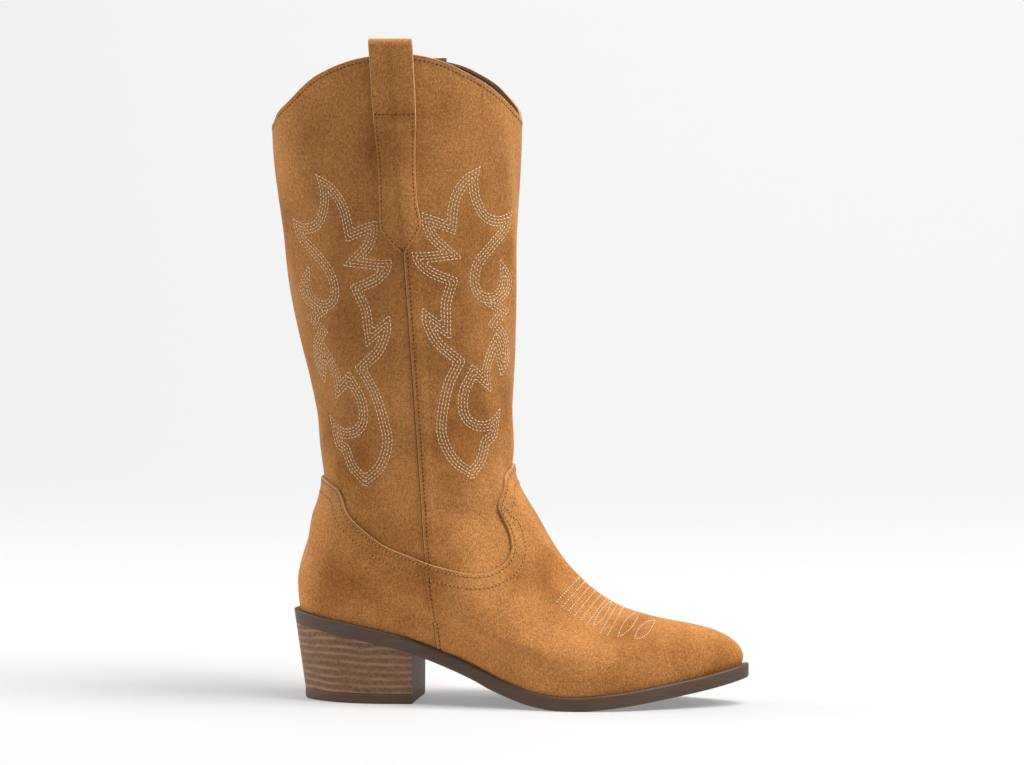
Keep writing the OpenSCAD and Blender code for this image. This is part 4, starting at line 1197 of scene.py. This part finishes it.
def flame_rows(count, gap):
    """The flame's closed outline and its inner rows with sharp corners, as flat lines of arc and height."""
    strokes = [even(trace(s, 24), 0.4) if len(s) > 2 else even(np.array(s, float), 0.4) for s in FLAME]
    base = np.concatenate(strokes + [strokes[0][:1]])
    rows = [base]
    for k in range(1, count):
        d, line = gap * k, []
        for stroke, after in zip(strokes, strokes[1:] + strokes[:1]):
            n1, n2 = left_of(stroke)[-1], left_of(after)[0]
            line.append(stroke + left_of(stroke) * d)
            if n1[0] * n2[1] - n1[1] * n2[0] < 0:
                reach = (n1 + n2) / max(1 + n1 @ n2, 0.32) * d
                line.append(after[:1] + reach)
        line = np.concatenate(line + [line[0][:1]])
        rows += cut_where(even(line, 0.4), nearest(even(line, 0.4), base) > d - 0.1, join=2.5)
    return rows


class BOOT_OT_embroidery(bpy.types.Operator):
    """Cream flames on both sides of both shaft panels"""
    bl_idname = "boot.embroidery"
    bl_label = "Embroidery"

    def execute(self, context):
        t = context.scene.boot_threads
        table = arc_table()
        rows = flame_rows(t.rows, t.row_gap / MM)
        for name, way in (("front", 1), ("back", -1)):
            tree = surface_of("shaft_" + name + "_suede")
            for inner_side in (False, True):
                lines = []
                for row in rows:
                    q, z = row[:, 0] + (6 if inner_side else 0), row[:, 1]
                    if way < 0 and not inner_side:
                        q, z = q + 2.5, z - 4.5
                    a = on_shaft(way * q, z, table)
                    lines.append(laid(tree, under(2 - a if inner_side else a, z, -0.3)))
                sewn("flames_" + name + ("_inner" if inner_side else "_outer"), lines, "cream_thread",
                     t.flame_pitch / MM, t.flame_length / MM, t.flame_width / MM, seed=3)
        return {"FINISHED"}


def cast(tree, xz, side):
    """Points given in the side view, dropped onto a surface from one side."""
    found = [tree.ray_cast(Vector((x, 120.0 * side, z)), Vector((0, -side, 0)))[:2] for x, z in xz]
    found = [(p + n * 0.05, n) for p, n in found if p]
    return np.array([p for p, _ in found]), np.array([n for _, n in found])


class BOOT_OT_toe_stitches(bpy.types.Operator):
    """Plain bars and leaf shapes across the top of the vamp"""
    bl_idname = "boot.toe_stitches"
    bl_label = "Toe stitches"

    def execute(self, context):
        tree = surface_of("vamp_suede")
        t = np.linspace(0, 1, 50)[:, None]
        marks = [mix(np.array(a), np.array(b), t) for a, b in
                 [((137.8 + 3.1 * k, 79 - 2.9 * k), (125.1 + 3.75 * k, 64.6 - 2.7 * k)) for k in range(6)]
                 + [((160.2, 61.5), (152.6, 46.6)), ((164.0, 59.6), (157.2, 45.2))]]
        for x, z, tilt, long_, wide in ((152.2, 56.5, 57, 7.6, 2.0), (168.6, 50.6, 52, 8.0, 2.7),
                                        (178.6, 47.4, 42, 6.6, 3.0)):
            q = t * 2 * math.pi
            leaf = np.concatenate([long_ * np.cos(q), wide * np.sin(q) * np.abs(np.sin(q)) ** 0.6], 1)
            c, n = math.cos(math.radians(tilt)), math.sin(math.radians(tilt))
            marks.append(leaf @ np.array([[c, n], [-n, c]]) + (x, z))
        lines = [cast(tree, mark, side) for mark in marks for side in (-1, 1)]
        sewn("toe_stitches", lines, "cream_thread", 1.9, 1.35, 0.95, seed=5)
        return {"FINISHED"}


class BOOT_OT_stage(bpy.types.Operator):
    """Pale floor that runs up into a wall, soft lights and the camera"""
    bl_idname = "boot.stage"
    bl_label = "Stage"

    def execute(self, context):
        scene = context.scene
        scene.view_settings.view_transform = "Standard"
        n = 24
        turn = np.linspace(0, math.pi / 2, n)
        side = [(-4.0, 0.0)] + [(1.6 + 1.2 * math.sin(t), 1.2 - 1.2 * math.cos(t)) for t in turn] + [(2.8, 4.5)]
        verts = [(x, y, z) for x in (-5.0, 5.0) for y, z in side]
        m = len(side)
        mesh = bpy.data.meshes.new("studio")
        mesh.from_pydata(verts, [], [(i, i + m, i + m + 1, i + 1) for i in range(m - 1)])
        white, tree, face = shader("studio_white", scene.boot_colours.floor, 0.9)
        face.inputs["Emission Color"].default_value = (1, 1, 1, 1)
        split = node(tree, "ShaderNodeSeparateXYZ",
                     [("Vector", node(tree, "ShaderNodeTexCoord").outputs["Object"])])
        glow = node(tree, "ShaderNodeMapRange", [("Value", split.outputs["Y"])])
        glow.inputs["From Max"].default_value = 2.8
        glow.inputs["To Min"].default_value, glow.inputs["To Max"].default_value = 0.26, 0.6
        tree.links.new(glow.outputs[0], face.inputs["Emission Strength"])
        mesh.materials.append(white)
        mesh.shade_smooth()
        floor = bpy.data.objects.new("studio", mesh)
        scene.collection.objects.link(floor)
        world = scene.world or bpy.data.worlds.new("studio_light")
        scene.world = world
        world.use_nodes = True
        back = world.node_tree.nodes["Background"]
        back.inputs["Color"].default_value = (1, 1, 1, 1)
        back.inputs["Strength"].default_value = 0.16
        aim = Vector((0.08, 0, 0.2))
        for name, place, size, power in (("key", (1.6, -0.3, 1.6), 0.9, 22),
                                         ("left", (-1.6, 0.1, 0.9), 0.9, 20),
                                         ("top", (0.75, -0.2, 2.1), 1.0, 42)):
            light = bpy.data.lights.new(name, "AREA")
            light.size, light.energy = size, power
            lamp = bpy.data.objects.new(name, light)
            lamp.location = place
            lamp.rotation_euler = (aim - Vector(place)).to_track_quat("-Z", "Y").to_euler()
            scene.collection.objects.link(lamp)
        yaw, rise, far = math.radians(8), math.radians(2.9), 2.2
        target = Vector((0.0943, 0, 0.1982))
        way = Vector((math.sin(yaw) * math.cos(rise), -math.cos(yaw) * math.cos(rise), math.sin(rise)))
        data = bpy.data.cameras.new("camera")
        data.sensor_width, data.lens = 36, 124.75
        camera = bpy.data.objects.new("camera", data)
        camera.location = target + far * way
        camera.rotation_euler = (-way).to_track_quat("-Z", "Y").to_euler()
        scene.collection.objects.link(camera)
        scene.camera = camera
        return {"FINISHED"}


STEPS = (BOOT_OT_upper, BOOT_OT_linings, BOOT_OT_sole, BOOT_OT_heel, BOOT_OT_strap, BOOT_OT_zip,
         BOOT_OT_edge_stitches, BOOT_OT_embroidery, BOOT_OT_toe_stitches, BOOT_OT_stage)


class BOOT_PT_panel(bpy.types.Panel):
    """Lists the boot's pieces and their sizes and colours"""
    bl_idname = "BOOT_PT_panel"
    bl_label = "Western Boot"
    bl_space_type = "VIEW_3D"
    bl_region_type = "UI"
    bl_category = "Boot"

    def draw(self, context):
        for step in STEPS:
            self.layout.operator(step.bl_idname)
        for group in (context.scene.boot_threads, context.scene.boot_colours):
            for key in group.bl_rna.properties.keys():
                if key not in ("rna_type", "name"):
                    self.layout.prop(group, key)


CLASSES = (BootThreads, BootColours, *STEPS, BOOT_PT_panel)


def register():
    for c in CLASSES:
        bpy.utils.register_class(c)
    bpy.types.Scene.boot_threads = bpy.props.PointerProperty(type=BootThreads)
    bpy.types.Scene.boot_colours = bpy.props.PointerProperty(type=BootColours)


def unregister():
    del bpy.types.Scene.boot_colours
    del bpy.types.Scene.boot_threads
    for c in reversed(CLASSES):
        bpy.utils.unregister_class(c)


def main():
    register()
    for step in STEPS:
        area, name = step.bl_idname.split(".")
        getattr(getattr(bpy.ops, area), name)()


if __name__ == "__main__":
    main()
